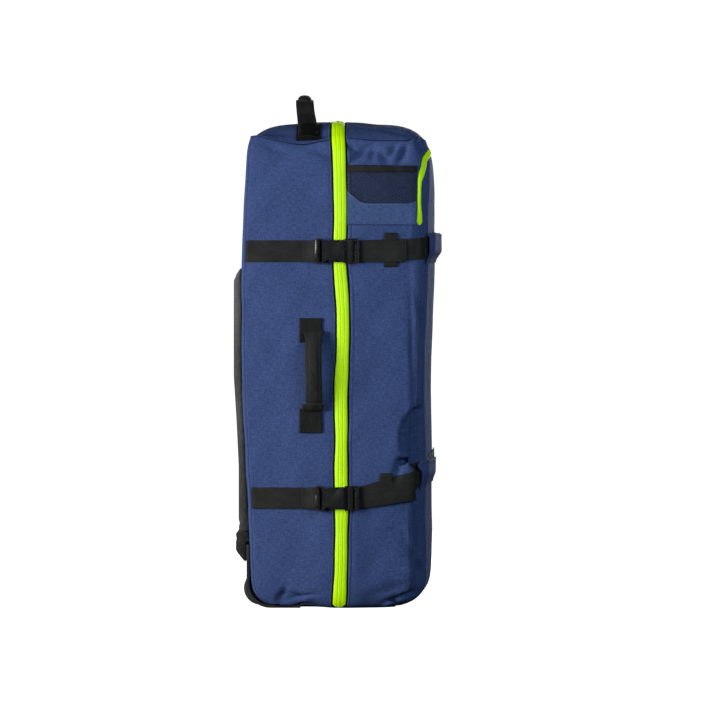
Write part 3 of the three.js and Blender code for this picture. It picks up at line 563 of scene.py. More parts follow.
def turned_edge(distance):
    """Lift of cloth near an edge: it dips at the edge itself, stands up as a soft roll beside it,
    and has a fine groove where the seam is stitched down."""
    dip = -2.4 * np.exp(-((distance / 1.1) ** 2))
    roll = 0.7 * np.exp(-(((distance - 2.6) / 1.6) ** 2))
    return dip + roll - 0.45 * np.exp(-(((distance - 5.2) / 0.8) ** 2))


LEVELS = np.concatenate([
    np.linspace(0, 30, 11), np.arange(34, 246, 4.5), np.arange(248, 296, 2.6), np.arange(298, 834, 4.5),
    np.arange(836, 863, 2.7),
    TOP_EDGE - np.array([3.8, 2.6, 1.6, 0.8, 0]),
])


def top_seam(z):
    """The cloth dips along the top edge, where the side is sewn to the top."""
    return -3.2 * np.exp(-(((TOP_EDGE - z) / 2.0) ** 2))


def run_along(line):
    """Distance from the start of a line (n, 3) to each of its points."""
    return np.concatenate([[0], np.linalg.norm(np.diff(line, axis=0), axis=-1).cumsum()])


def sheet_uv(points):
    """A UV map in millimetres that keeps a sheet's size: the run along its middle row, and the
    mean climb from row to row."""
    climb = np.concatenate([[0], np.linalg.norm(np.diff(points, axis=0), axis=-1).mean(1).cumsum()])
    return np.stack(np.meshgrid(run_along(points[len(points) // 2]), climb), axis=-1)


def sewn_sheet(name, points, depth, material, slot, node, flip=False):
    """A sheet from a grid of points, with its thickness, its finish and its cut size."""
    sheet = thicken(grid_piece(name, points, sheet_uv(points), flip), depth)
    dress(sheet, material, slot, node)


def cloth_panel(name, points, node, flip=False):
    """A panel of the body's blue cloth."""
    sewn_sheet(name, points, CLOTH, blue_cloth, "blue_cloth", node, flip)


def rear_side_points(side):
    """From the back panel's edge round the corner to the zip, with a sunk seam at the corner."""
    edge = station_at(zip_edge(LEVELS, -1), LEVELS)[:, None]
    arc = np.linspace(1, 2, 25)
    width = 148.0
    across = (width - spread(width)[::-1]) / width
    across = across[across > 0]
    stations = np.concatenate([
        np.repeat(arc[None], len(LEVELS), 0), 2 + across[None] * (edge - 2),
    ], axis=1)
    distance = np.concatenate([np.full(len(arc), width), (1 - across) * width])
    away = np.abs(stations - BACK_SEAM) * 22
    seam = 0.8 * np.exp(-(((away - 3.2) / 1.5) ** 2)) - 1.9 * np.exp(-((away / 1.0) ** 2))
    foot = np.where(stations < 2.0, 6.6, 6.6 * (1 - smooth(2.0, 2.12, stations)))
    z = np.maximum(LEVELS[:, None], foot)
    return wall(stations, z, side, turned_edge(distance)[None] + seam + top_seam(z))


def front_side_points(side):
    """From the zip to the front seam."""
    edge = station_at(zip_edge(LEVELS, 1), LEVELS)[:, None]
    width = 126.0
    distance = spread(width, 3.2)
    stations = edge + distance[None] / width * (front_seam(LEVELS)[:, None] - edge)
    nearest = np.minimum(distance, width - distance + 0.9)
    return wall(stations, LEVELS[:, None], side, turned_edge(nearest)[None] + top_seam(LEVELS)[:, None])


for hand, side in (("left", -1), ("right", 1)):
    rear, fore = f"rear_side_{hand}", f"front_side_{hand}"
    cloth_panel(f"{rear}_cloth", rear_side_points(side), rear, side > 0)
    cloth_panel(f"{fore}_cloth", front_side_points(side), fore, side > 0)

# %% [markdown]
# The front panel runs from seam to seam round both front corners, and the back panel fills the
# space between the back corners. Both are the same kind of grid, with other stations.

# %% Front, back and bottom panels
def front_points():
    """Columns run from the left seam round the front to the right seam."""
    close = np.array([0, 0.006, 0.012, 0.02, 0.031, 0.045])
    share = np.concatenate([close - 1, np.linspace(-0.94, 0.94, 61), 1 - close[::-1]])[None]
    reach = 5 - front_seam(LEVELS)[:, None]
    station = 5 - reach * np.abs(share)
    edge = turned_edge(reach * (1 - np.abs(share)) * 70.7 + 0.9)
    return both_walls(share > 0, station, LEVELS[:, None], edge)


def back_points():
    """Columns run across the back, between the two back corners, above the base plate."""
    u = np.linspace(-1, 1, 41)
    z = LEVELS[LEVELS > 121]
    z = np.concatenate([[117.5], z])
    return both_walls((u > 0)[None], np.abs(u)[None], z[:, None])


def bottom_points():
    """The flat underside: rows run from the base plate to the front panel's lower edge, each from
    the left wall's foot to the right wall's."""
    station = np.linspace(station_at(-68.4, 0.0), 4.0, 41)
    left, right = (wall(station, np.zeros_like(station), side)[:, None] for side in (-1, 1))
    u = np.linspace(-1, 1, 61)[None, :, None]
    points = (left * (1 - u) + right * (1 + u)) / 2
    points[..., 2] = hitch(points[..., 0]) * np.abs(u[..., 0]) ** 12
    return points


cloth_panel("front_panel_cloth", front_points(), "front_panel")
cloth_panel("back_panel_cloth", back_points(), "back_panel", True)
cloth_panel("bottom_panel_cloth", bottom_points(), "bottom_panel")

# %% [markdown]
# The top is a dome that rises from the top edge. It is highest near the zip, falls in a long
# curve to the back and in a short one to the front. Soft creases run in from its corners.

# %% Domed top
# x, place across from -1 to 1, tilt in degrees, half length, half width, depth
TOP_CREASES = np.array([
    [-132, -0.82, 24, 46, 9, 4.0],
    [-104, -0.9, 8, 34, 8, 3.0],
    [104, -0.86, 160, 40, 9, 3.0],
    [60, -0.7, 12, 44, 12, 2.5],
    [-120, 0.84, -20, 46, 9, 3.5],
    [96, 0.86, 20, 40, 9, 3.0],
    [-27, -0.93, 12, 24, 7, 7.0],
    [-60, 0.1, 80, 110, 26, 3.0],
    [80, -0.1, 85, 110, 22, 3.0],
])
TOP_HALF = 188.0


def top_point(x, u, lift=0.0):
    """The dome: crown * (1 - fall) * (1 - |u| ^ power) above the top edge, less the creases, with
    the same rise and sag of the edge as the walls have. fall is a slow and a fast power of the way
    from the peak to the back or the front."""
    x, u = np.broadcast_arrays(np.asarray(x, float), np.asarray(u, float))
    back, front, _, _ = section_at(TOP_EDGE)
    rear = np.clip((TOP_PEAK_X - x) / (TOP_PEAK_X - back), 0, 1)
    fore = np.clip((x - TOP_PEAK_X) / (front - TOP_PEAK_X), 0, 1)
    fall = 0.45 * rear**2.6 + 0.55 * rear**9 + 0.38 * fore**2.4 + 0.62 * fore**10
    share = (1 - fall) * (1 - np.abs(u) ** ROOF_ACROSS)
    half = half_at(x, np.full_like(x, TOP_EDGE))
    y = u * half
    along, across = tilted(TOP_CREASES * [1, TOP_HALF, 1, 1, 1, 1], x, y)
    creases = (TOP_CREASES[:, 5] * np.exp(-(along**2) - across**2)).sum(-1)
    rim = smooth(0.0, 0.08, share)
    z = TOP_EDGE + TOP_CROWN * share + crest(x) * np.abs(u) ** 6 - rim * creases + lift
    return np.stack([x, y, z], axis=-1)


def top_points(x, beside):
    """Rows along x, columns across; the edge beside the zip is turned in."""
    u = np.sin(np.linspace(-np.pi / 2, np.pi / 2, 97))
    return top_point(x[:, None], u[None], turned_edge(np.abs(x - beside))[:, None])


TOP_BACK, TOP_FRONT, _, TOP_ZIP = (float(v) for v in section_at(TOP_EDGE))
rear_edge, fore_edge = (TOP_ZIP + sign * (ZIP_HALF + ZIP_GAP[sign]) * TOP_SPREAD for sign in (-1, 1))
rear_x = rear_edge - spread(rear_edge - TOP_BACK)
fore_x = fore_edge + spread(TOP_FRONT - fore_edge)
cloth_panel("rear_top_cloth", top_points(rear_x[::-1], rear_edge), "rear_top", True)
cloth_panel("front_top_cloth", top_points(fore_x, fore_edge), "front_top", True)

# %% [markdown]
# ## Main zip
# The zip is a hoop: up the left side, over the top and down the right side. Its two woven tapes
# and the coil between them are strips carried along that hoop. Where the hoop turns from the
# side to the top it would kink, so the path is averaged over a few centimetres there.

# %% Zip path
COIL_HALF, COIL_PITCH = 3.4, 2.6
HOOP_STEP = 0.85


def hoop_path(across, lift):
    """Points of the hoop at each place across the zip: walls up to the top edge, the dome over
    the top, resampled to equal steps and averaged along the way to round the two bends."""
    u = np.linspace(-0.985, 0.985, 220)
    lines = []
    for dx in across:
        z = np.linspace(1.0 + 5.0 * (dx / ZIP_HALF) ** 2, TOP_EDGE - 2, 500)
        middle, stretch = zip_line(z)
        left = on_side(middle + dx * stretch, z, -1, 0.0, 0.35)
        right = on_side(middle + dx * stretch, z, 1, 0.0, 0.35)
        over = top_point(np.full_like(u, TOP_ZIP + dx * TOP_SPREAD), u)
        lines.append(np.concatenate([left, over, right[::-1]]))
    lines = np.stack(lines, axis=1)
    middle = lines[:, len(across) // 2]
    run = run_along(middle)
    even = np.arange(0, run[-1], HOOP_STEP)
    hoop = np.stack([
        np.stack([np.interp(even, run, lines[:, i, k]) for k in range(3)], axis=-1)
        for i in range(len(across))
    ], axis=1)
    window = np.hanning(41)
    window /= window.sum()
    padded = np.concatenate([np.repeat(hoop[:1], 20, 0), hoop, np.repeat(hoop[-1:], 20, 0)])
    hoop = np.apply_along_axis(lambda line: np.convolve(line, window, "valid"), 0, padded)
    along = unit(np.gradient(hoop, axis=0))
    sideways = unit(hoop[:, -1:] - hoop[:, :1])
    out = unit(np.cross(sideways, along))
    return hoop + out * lift[..., None], even


def strip_uv(across, run):
    """A UV map for a strip: across it, then along it; the run is folded into one metre."""
    return np.stack(np.broadcast_arrays(across[None], (run % 900.0)[:, None]), axis=-1)


# %% [markdown]
# Fluorescent dye sends back more yellow-green than falls on it. This finish stands in for that with a little
# emission besides its bright colour: a painted glow, the same in shade as in light. Fine ribs run along the
# tapes.

# %% Bright tape
def neon_finish(name, pitch):
    """Ribs along the tape from one sine, and uneven dye from a stretched noise."""
    # The emission is a painted glow: the tape shines the same in shade as in light, standing for the dye's
    # fluorescence.
    material, tree, shader = new_finish(name, 0.42, 0.22, Emission_Strength=0.16)
    shader.inputs["Emission Color"].default_value = (0.5, 0.95, 0.0, 1)
    uv, split = uv_places(tree)
    ribs = stripes(tree, split[0], pitch)
    dye = stretched_noise(tree, uv, (900.0, 160.0, 1.0))
    share = weighted(tree, -0.25, (ribs, 0.5), (dye, 1.0))
    colour_between(tree, shader, share, (0.42, 0.75, 0.0), (0.65, 0.98, 0.0))
    raise_surface(tree, shader, weighted(tree, 0.0, (ribs, 1.0), (dye, 0.6)), 0.4, 0.3)
    return material


neon_tape = neon_finish("neon_tape", 1.3)
neon_coil = neon_finish("neon_coil", 0.9)

# %% Tapes and coil
def tape_lift(across):
    """A tape slopes like a roof from the coil to its outer edge, which dips under the cloth. A
    narrow dip beside the coil leaves a darker line there."""
    away = np.abs(across)
    t = (away - COIL_HALF) / (ZIP_HALF - COIL_HALF)
    roof = 2.2 * np.cos(np.clip(t, 0, 1) * np.pi / 2) ** 0.8 - 1.6 * smooth(0.86, 1.0, t)
    return roof - 0.8 * np.exp(-(((away - COIL_HALF - 0.1) / 0.6) ** 2))


for name, sign in (("rear", -1), ("front", 1)):
    across = np.sort(sign * np.concatenate([[2.7, 3.1, 3.5, 4.0, 4.6], np.linspace(5.6, ZIP_HALF + 0.9, 7)]))
    points, run = hoop_path(across, tape_lift(across)[None])
    points, run = points[::4], run[::4]
    tape = thicken(grid_piece(f"zip_tape_{name}", points, strip_uv(across, run)), 0.9)
    dress(tape, neon_tape, "neon_zip", f"main_zip_tape_{name}")

across = COIL_HALF * np.sin(np.linspace(-np.pi / 2, np.pi / 2, 11))
coil_points, coil_run = hoop_path(across, np.zeros((1, len(across))))
phase = 2 * np.pi * coil_run[:, None] / COIL_PITCH + np.pi * (across[None] > 0)
arch = np.sqrt(1 - (across / COIL_HALF / 1.02) ** 2)
valley = 1 - 0.45 * np.exp(-((across / 0.7) ** 2))
coil_lift = 1.3 + 1.7 * arch[None] * valley[None] * (0.8 + 0.2 * np.sin(phase))
coil_points, coil_run = hoop_path(across, coil_lift)
coil = thicken(grid_piece("zip_coil", coil_points, strip_uv(across, coil_run)), 0.8)
dress(coil, neon_coil, "neon_zip", "main_zip_coil")

# %% [markdown]
# ## Webbing
# Straps, handles and keepers are woven from thick black yarn. Their weave is a twill: fine ribs
# that run at a slant. A picture of a strap could be wrapped round a plain box, but its edges would
# look cut. So a strap is a rounded profile that is carried along its path.

# %% Black webbing
def webbing_finish(name, dark, pale, pitch, slant=0.45):
    """Twill ribs from a sine along a slanted coordinate, cross ribs from a second sine along the
    strap, and dust and fading from two noises."""
    material, tree, shader = new_finish(name, 0.7, 0.16)
    uv, split = uv_places(tree)
    twill = stripes(tree, math(tree, "MULTIPLY_ADD", split[1], slant, split[0]), pitch)
    cross = stripes(tree, split[1], pitch * 0.8)
    yarn = stretched_noise(tree, uv, (700.0, 90.0, 1.0))
    dust = stretched_noise(tree, uv, (60.0, 24.0, 1.0), 4.0)
    share = weighted(tree, -0.75, (twill, 0.4), (cross, 0.25), (yarn, 0.9), (dust, 0.9))
    colour_between(tree, shader, share, dark, pale)
    raise_surface(tree, shader, weighted(tree, 0.0, (twill, 0.8), (cross, 0.5), (yarn, 0.4)), 0.5, 0.4)
    return material


black_webbing = webbing_finish("black_webbing", (0.008, 0.008, 0.0072), (0.033, 0.033, 0.0295), 2.2)
dark_webbing = webbing_finish("dark_webbing", (0.0045, 0.0045, 0.004), (0.019, 0.019, 0.017), 2.2)
# This near-black finish colours the dark top-handle patches, and also the strips that paint the shadow along
# the main zip.
deep_webbing_and_shadow = webbing_finish("deep_webbing_and_shadow", (0.001, 0.001, 0.0009), (0.005, 0.005, 0.0045), 2.2)
black_thread = webbing_finish("black_thread", (0.016, 0.016, 0.015), (0.05, 0.05, 0.046), 0.8)

# %% [markdown]
# A thin black strip runs along both edges of the main zip, between the tape and the turned cloth: painted
# shadow, standing for the dark gap there.

# %% Shadow strips
for name, sign in (("rear", -1), ("front", 1)):
    share = np.linspace(0, 1, 5)[:: sign]
    across = sign * (ZIP_HALF - 0.5 + share * (ZIP_GAP[sign] + 1.3))
    lift = -0.1 - 1.2 * smooth(0.6, 1.0, share)
    points, run = hoop_path(across, lift[None])
    points, run = points[::4], run[::4]
    shadow_strip = thicken(grid_piece(f"zip_shadow_strip_{name}", points, strip_uv(across, run)), 0.6)
    # The near-black strip is painted shadow: it stands for the shaded gap beside the zip.
    dress(shadow_strip, deep_webbing_and_shadow, "black_webbing")

# %% [markdown]
# A strap lies on the cloth, so its path is written in the cloth's own terms: the distance round
# the bag, the lift off the cloth and the height. The distance is 0 where x is 0 on the left side
# and grows towards the front, round it and along the right side.

# %% The way round the bag
def girth_at(z):
    """Distances round a level section, and the station at each, counted on past the middle of the
    front: 1 is the left back corner, 5 the middle of the front, 9 the right back corner."""
    loop = np.linspace(1, 9, 1601)
    points = np.where((loop < 5)[:, None], plan_point(loop, z, -1), plan_point(10 - loop, z, 1))
    run = run_along(points)
    side = (loop > 2) & (loop < 3)
    return run - np.interp(0, points[side, 0], run[side]), loop


def round_body(girth, run, z, lift, calm=1.0):
    """Points on the cloth at distances round the bag, heights and lifts."""
    loop = np.interp(run, *girth)
    station = np.minimum(loop, 10 - loop)
    return both_walls(loop >= 5, station, z, lift, calm)


def even_path(stops, step, window):
    """Stops joined by straight lines, set out again at even steps and averaged over a window, so
    that corners turn into bends. Distance is measured in the first two columns."""
    along = run_along(stops[:, :2])
    even = np.arange(0, along[-1], step)
    path = np.stack([np.interp(even, along, column) for column in stops.T], axis=-1)
    weight = np.hanning(2 * window + 3)[1:-1]
    weight /= weight.sum()
    padded = np.concatenate([np.repeat(path[:1], window, 0), path, np.repeat(path[-1:], window, 0)])
    return np.stack([np.convolve(column, weight, "valid") for column in padded.T], axis=-1), even


def band_profile(width, thick, across=9, turn=4):
    """The outline of a strap cut across, flat with half-round edges: from the middle of one edge
    over the top to the other edge, and back underneath. The first point comes again at the end."""
    flat = (width - thick) / 2
    bend = np.linspace(np.pi, np.pi / 2, turn)
    a = np.concatenate([np.cos(bend) * thick / 2 - flat, np.linspace(-flat, flat, across)[1:-1]])
    a = np.concatenate([a, flat - np.cos(bend[::-1]) * thick / 2])
    h = np.concatenate([np.sin(bend), np.ones(across - 2), np.sin(bend[::-1])]) * thick / 2
    return np.concatenate([a, a[-2::-1]]), np.concatenate([h, -h[-2::-1]])


def close_ends(grid):
    """A tube's grid with one more row at each end, where the profile is folded flat upon itself,
    so that its upper and lower points merge."""
    first, last = ((row + row[::-1]) / 2 for row in (grid[0], grid[-1]))
    return np.concatenate([first[None], grid, last[None]])


print("round the bag at the upper strap:", round(float(np.ptp(girth_at(661.0)[0]))), "mm")


# %% [markdown]
# ## Compression straps
# Each strap has two halves. The rear half is sewn into the back seam and loops round the bar of the
# buckle. The front half comes round from the other side, passes through the ladder of the buckle,
# and its tail lies back over it. Both are flat webbing, 40 mm wide and 2 mm thick.

# %% Strap halves
STRAP_WIDTH, STRAP_THICK, STRAP_LIFT = 40.0, 2.0, 1.6
# height, slope of the strap and of its tail, end of the tail, keeper's x and lower end, and on the
# front its heights from the corner to the middle and its lift
STRAPS = {
    "upper": dict(z=661.0, slope=0.04, tail_slope=0.0, tail=128.0, keeper=98.0, keeper_low=-32.0,
                  front_z=[664, 667, 671, 677, 681], front_lift=9.0),
    "lower": dict(z=204.0, slope=0.285, tail_slope=0.15, tail=146.0, keeper=90.0, keeper_low=-20.0,
                  front_z=[228, 243, 254, 266, 275], front_lift=3.4),
}


def bar_turn(run, lift, radius, start):
    """Half a turn of webbing round a buckle's bar, as places along the strap and their lift."""
    angle = np.radians(start) + np.linspace(0, np.pi, 13)
    return run + radius * np.cos(angle), lift + radius * np.sin(angle)


def ribbon(girth, path, along):
    """A strap's surface. Each place of the path (run, lift, height, slope) carries the profile:
    its width lies across the slope and its thickness along the normal in the run-lift plane."""
    a, h = band_profile(STRAP_WIDTH, STRAP_THICK)
    run, lift, z, slope = (column[:, None] for column in path.T)
    ahead = unit(np.gradient(path[:, :2], axis=0))
    tilt = np.arctan(slope)
    grid = round_body(
        girth,
        run - ahead[:, 1:] * h - a * np.sin(tilt),
        z + a * np.cos(tilt),
        lift + ahead[:, :1] * h,
    )
    uv = np.stack(np.broadcast_arrays(a + 60 * (h < 0), along[:, None] % 900), axis=-1)
    return close_ends(grid), np.concatenate([uv[:1], uv, uv[-1:]])


def rear_stops(strap, girth):
    """From the back seam along the side, round the buckle's bar and a short way back."""
    run, loop = girth
    seam = np.interp([1.62, 1.8, 2.0], loop, run)
    turn_run, turn_lift = bar_turn(-34.5, 5.1, 3.5, -90)
    stops_run = np.concatenate([seam, [-140, -100, -70, -38], turn_run, [-43.5, -52, -58, -67]])
    stops_lift = np.concatenate([[0.6, 1.5, 1.6], [STRAP_LIFT] * 4, turn_lift, [8.6, 5.6, 4.2, 4.0]])
    return np.stack([stops_run, stops_lift, np.full_like(stops_run, strap["z"]), 0 * stops_run], axis=-1)


def front_stops(strap, girth):
    """The tail back to the buckle, round its bar, then forward over the side, through the sleeve
    on the front and along the other side to the far back seam."""
    run, loop = girth
    rise = lambda place, slope: strap["z"] + slope * np.maximum(place - STRAP_TURN, 0)
    sloped = lambda place, slope: slope * (place > STRAP_TURN)
    keeper, slope, tail_slope = strap["keeper"], strap["slope"], strap["tail_slope"]
    tail_run = np.array([strap["tail"], keeper + 20, keeper + 13, keeper - 14, 50, 42, 33, 29.6, 27.4])
    tail_lift = np.array([4.0, 5.4, 6.1, 6.1, 4.2, 2.75, 2.75, 5.5, 8.5])
    turn_run, turn_lift = bar_turn(20.8, 4.75, 3.85, 90)
    near = np.array([30, 44, 70, 95, 120], float)
    near_lift = np.array([0.8, 0.8, 1.6, 1.6, 1.6])
    middle = np.interp(5.0, loop, run)
    stations = np.array([3.1, 3.21, 3.5, 3.75, 4, 4.5, 5])
    front = np.interp(stations, loop, run)
    level = np.interp(stations, [3, 3.5, 4, 4.5, 5], strap["front_z"])
    level_lift = STRAP_LIFT + (strap["front_lift"] - STRAP_LIFT) * smooth(3.2, 4.6, stations)
    far = np.array([120, 80, 45, 20, 6, -8, -33, -90, -140], float)
    seam = np.interp([8.0, 8.2, 8.38], loop, run)
    over_zip = STRAP_LIFT + 1.8 * np.exp(-(((far - 6) / 30) ** 2))
    flat = np.zeros_like
    rows = [
        (tail_run, tail_lift, rise(tail_run, tail_slope), sloped(tail_run, tail_slope)),
        (turn_run, turn_lift, np.full_like(turn_run, strap["z"]), flat(turn_run)),
        (near, near_lift, rise(near, slope), sloped(near, slope)),
        (front, level_lift, level, flat(front)),
        (2 * middle - front[-2::-1], level_lift[-2::-1], level[-2::-1], flat(front[1:])),
        (2 * middle - far, over_zip, rise(far, slope), -sloped(far, slope)),
        (seam, np.array([1.6, 1.5, 0.6]), np.full(3, strap["z"]), flat(seam)),
    ]
    return np.concatenate([np.stack(row, axis=-1) for row in rows])


for name, strap in STRAPS.items():
    girth = girth_at(strap["z"])
    for half, stops in (("rear", rear_stops), ("front", front_stops)):
        path, along = even_path(stops(strap, girth), 1.7, 2)
        strip = dress(grid_piece(f"strap_{name}_{half}_webbing", *ribbon(girth, path, along)),
                      black_webbing, "black_webbing", f"strap_{name}_{half}")
        print("  length", round(along[-1]), "mm")

# %% [markdown]
# A keeper is a short band of webbing that holds the strap to the side, and the strap's tail lies
# over it. A sleeve is a wide band of cloth on the front: the strap runs through it. Its lower edge is
# sewn down, and it stands off the bag above, where the strap looks out. Both have a thickness.

# %% Keepers and sleeves
def keeper_points(strap):
    """Columns along x, rows up the side: raised over the strap and sewn down above and below."""
    x = strap["keeper"] + np.linspace(-12, 12, 13)
    v = np.linspace(strap["keeper_low"], 32, 41)
    raised = smooth(0, 7, v - v[0]) * smooth(0, 7, v[-1] - v)
    middle = strap["z"] + strap["slope"] * max(strap["keeper"] - STRAP_TURN, 0)
    return on_side(x[None], middle + v[:, None], -1, (1.7 + 2.5 * raised)[:, None])


# places from the middle of the front, then the sleeve's lower and upper edge there and its lift
SLEEVES = {
    "upper": dict(places=[0, 1.1, 1.28], low=[646, 641, 636], high=[697, 697, 695], lift=10.6),
    "lower": dict(places=[0, 1.2, 1.36], low=[233, 229, 219], high=[277, 273, 265], lift=4.8),
}


def sleeve_points(sleeve):
    """Columns across the front from corner to corner, rows up the band. The lower edge is sewn
    down; the lift climbs in an S-shaped curve and stays full up to the open upper edge."""
    reach = sleeve["places"][-1]
    u = np.linspace(-reach, reach, 91)[None]
    v = np.linspace(0, 1, 31)[:, None]
    low, high = (np.interp(np.abs(u), sleeve["places"], sleeve[key]) for key in ("low", "high"))
    mouth = smooth(reach - 0.16, reach, np.abs(u))
    hem = 0.5 * np.exp(-(((v - 0.93) / 0.04) ** 2))
    lift = 2.6 + sleeve["lift"] * (1 - 0.25 * mouth) * smooth(0.0, 0.42, v) + hem
    station, z = np.broadcast_arrays(5 - np.abs(u), low + (high - low) * v)
    return both_walls(u > 0, station, z, lift, 0.5)


for name, strap in STRAPS.items():
    sewn_sheet(f"keeper_{name}_webbing", keeper_points(strap), 1.3, black_webbing, "black_webbing",
               f"keeper_{name}")
    sewn_sheet(f"sleeve_{name}_cloth", sleeve_points(SLEEVES[name]), 1.8, blue_cloth, "blue_cloth",
               f"sleeve_{name}")

# %% [markdown]
# ## Buckles
# The buckles are moulded in two halves. The CAD solids already have the bars, the slots and the
# catches, so each is copied. A moulding has no sharp edges, and a Bevel modifier rounds them.

# %% Moulded plastic
def moulded_finish(name, dark, pale, roughness, specular, grain=900.0, depth=0.06):
    """Fine moulded grain from a noise in the object's own coordinates, and handling marks from a
    slow one, which also change the gloss a little."""
    material, tree, shader = new_finish(name, roughness, specular)
    place = add_node(tree, "ShaderNodeTexCoord").outputs["Object"]
    fine = stretched_noise(tree, place, (grain, grain, grain), 3.0)
    marks = stretched_noise(tree, place, (55.0, 55.0, 55.0), 4.0)
    colour_between(tree, shader, marks, dark, pale)
    tree.links.new(weighted(tree, roughness - 0.12, (marks, 0.24)), shader.inputs["Roughness"])
    raise_surface(tree, shader, fine, 0.4, depth)
    return material


black_plastic = moulded_finish("black_plastic", (0.008, 0.0081, 0.008), (0.019, 0.0195, 0.019), 0.27, 0.6)


def rounded_copy(node, radius, segments=3):
    """A copy of a CAD solid at its place, merged, with its sharp edges rounded by a bevel."""
    piece = bpy.data.objects.new(f"{node}_moulded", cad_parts[node].data.copy())
    bpy.context.scene.collection.objects.link(piece)
    piece.data.materials.clear()
    merge_doubles(piece)
    bevel = piece.modifiers.new("round", "BEVEL")
    bevel.width = radius * MM
    bevel.segments = segments
    bevel.limit_method = "ANGLE"
    bevel.angle_limit = np.radians(28)
    bevel.harden_normals = True
    return piece


for name in STRAPS:
    for half in ("female", "male"):
        node = f"buckle_{name}_{half}"
        dress(rounded_copy(node, 1.7), black_plastic, "black_plastic", node)

# %% [markdown]
# A guide stands between the prongs of each buckle and reaches into the other half. It is a flat
# tongue with rounded edges: a superellipse carried along x.

# %% Buckle guides
def guide_points(strap):
    """Rows along x, columns round the tongue: 21 mm either way along z and 1.7 mm along the lift.
    It steps down a little where it passes under the other half."""
    x = np.linspace(-8.0, 20.4, 15)[:, None]
    angle = np.linspace(0, 2 * np.pi, 33)[None]
    c, s = np.cos(angle), np.sin(angle)
    z = strap["z"] + (20.6 + 0.03 * x) * np.sign(c) * np.abs(c) ** 0.25
    lift = 5.4 - 1.0 * smooth(14.0, 16.5, x) + 1.7 * np.sign(s) * np.abs(s) ** 0.5
    x, z, lift = np.broadcast_arrays(x, z, lift)
    return close_ends(on_side(x, z, -1, lift))


for name, strap in STRAPS.items():
    points = guide_points(strap)
    guide = grid_piece(f"buckle_{name}_guide", points, sheet_uv(points))
    dress(guide, black_plastic, "black_plastic")
for node in ("main_zip_slider", "front_zip_slider"):
    dress(rounded_copy(node, 0.8), black_plastic, "black_plastic", node)

# %% [markdown]
# ## Stitches
# Every seam under load is stitched with thick thread. A stitch is a small bead, pointed at both
# ends, and only a few dozen faces. Hundreds of them are one mesh: the same bead is set along a line
# on the cloth, over and over, by one array sum.

# %% Stitch beads
BEAD_RINGS, BEAD_SIDES = 5, 6


def line_places(line, pitch, length):
    """Starts and ends of stitches along a polyline (n, 3), one at each pitch."""
    run = run_along(line)
    start = np.arange(pitch / 4, run[-1] - length, pitch)
    place = lambda at: np.stack([np.interp(at, run, line[:, k]) for k in range(3)], axis=-1)
    return place(start), place(start + length)


def stitch_piece(name, starts, ends, out, radius, material, slot, flat=0.7):
    """Beads between starts and ends (n, 3): circles of radius * sin along each stitch, pressed a
    little flat along the direction out."""
    turn = np.linspace(0, np.pi, BEAD_RINGS)
    angle = np.linspace(0, 2 * np.pi, BEAD_SIDES + 1)
    along = unit(ends - starts)
    across = unit(np.cross(np.broadcast_to(out, along.shape), along))
    up = np.cross(along, across)
    size = np.linalg.norm(ends - starts, axis=-1)[:, None, None, None]
    middle = ((starts + ends) / 2)[:, None, None]
    lengthwise = -np.cos(turn)[None, :, None, None] * size / 2 * along[:, None, None]
    round_about = np.sin(turn)[None, :, None, None] * radius * (
        np.cos(angle)[None, None, :, None] * across[:, None, None]
        + flat * np.sin(angle)[None, None, :, None] * up[:, None, None]
    )
    points = middle + lengthwise + round_about
    quads = grid_quads(BEAD_RINGS, BEAD_SIDES + 1)[:, ::-1]
    step = BEAD_RINGS * (BEAD_SIDES + 1)
    quads = (quads[None] + step * np.arange(len(starts))[:, None, None]).reshape(-1, 4)
    bead_uv = np.stack(np.meshgrid(angle, turn), axis=-1)
    uv = np.broadcast_to(bead_uv, (len(starts), *bead_uv.shape))
    piece = make_mesh(name, points.reshape(-1, 3), quads, uv.reshape(-1, 2))
    merge_doubles(piece)
    return dress(piece, material, slot)


def box_and_cross(low_x, high_x, low_z, high_z, lift):
    """Stitch lines of a sewn-down patch on the left side: a box with both of its diagonals."""
    corners = np.array([[low_x, low_z], [high_x, low_z], [high_x, high_z], [low_x, high_z], [low_x, low_z]])
    strokes = [corners, corners[[0, 2]], corners[[1, 3]]]
    t = np.linspace(0, 1, 60)
    lines = []
    for stroke in strokes:
        spots = np.linspace(0, 1, len(stroke))
        x, z = np.interp(t, spots, stroke[:, 0]), np.interp(t, spots, stroke[:, 1])
        lines.append(on_side(x, z, -1, lift))
    return lines


def stitch_lines(lines, pitch=3.4, length=2.5):
    """Starts and ends of the stitches of several lines, in two arrays."""
    places = [line_places(line, pitch, length) for line in lines]
    return np.concatenate([a for a, _ in places]), np.concatenate([b for _, b in places])


OUT_LEFT = np.array([0.0, -1.0, 0.0])
blue_thread = webbing_finish("blue_thread", (0.03, 0.048, 0.115), (0.08, 0.12, 0.24), 0.8)
seam_z = np.linspace(24, TOP_EDGE - 24, 300)
for hand, side in (("left", -1), ("right", 1)):
    zip_lines = [on_side(zip_edge(seam_z, sign) + sign * 5.5, seam_z, side, 0.25) for sign in (-1, 1)]
    zip_lines.append(wall(front_seam(seam_z) - 0.085, seam_z, side, 0.25))
    stitch_piece(f"seam_stitches_{hand}", *stitch_lines(zip_lines, 4.4, 3.2), -side * OUT_LEFT, 0.42,
                 blue_thread, "blue_cloth")

tack_z = np.linspace(649, 680, 21)
tack_x = np.where(np.arange(21) % 2, 118.0, 127.0)
tack = on_side(tack_x, tack_z, -1, 5.25, 1.0)
grey_thread = webbing_finish("grey_thread", (0.03, 0.03, 0.028), (0.12, 0.12, 0.112), 0.8)
stitch_piece("tail_bartack", tack[:-1], tack[1:], OUT_LEFT, 0.5, grey_thread, "black_webbing")

# %% [markdown]
# ## Side handle
# Two patches of doubled webbing are sewn to the side with a box and a cross. Between them stands a
# grip: webbing that is wrapped round a soft core, gathered into a flat band at its lower end. Its
# section is a rounded bar that changes along its length, so the grip is one closed tube.

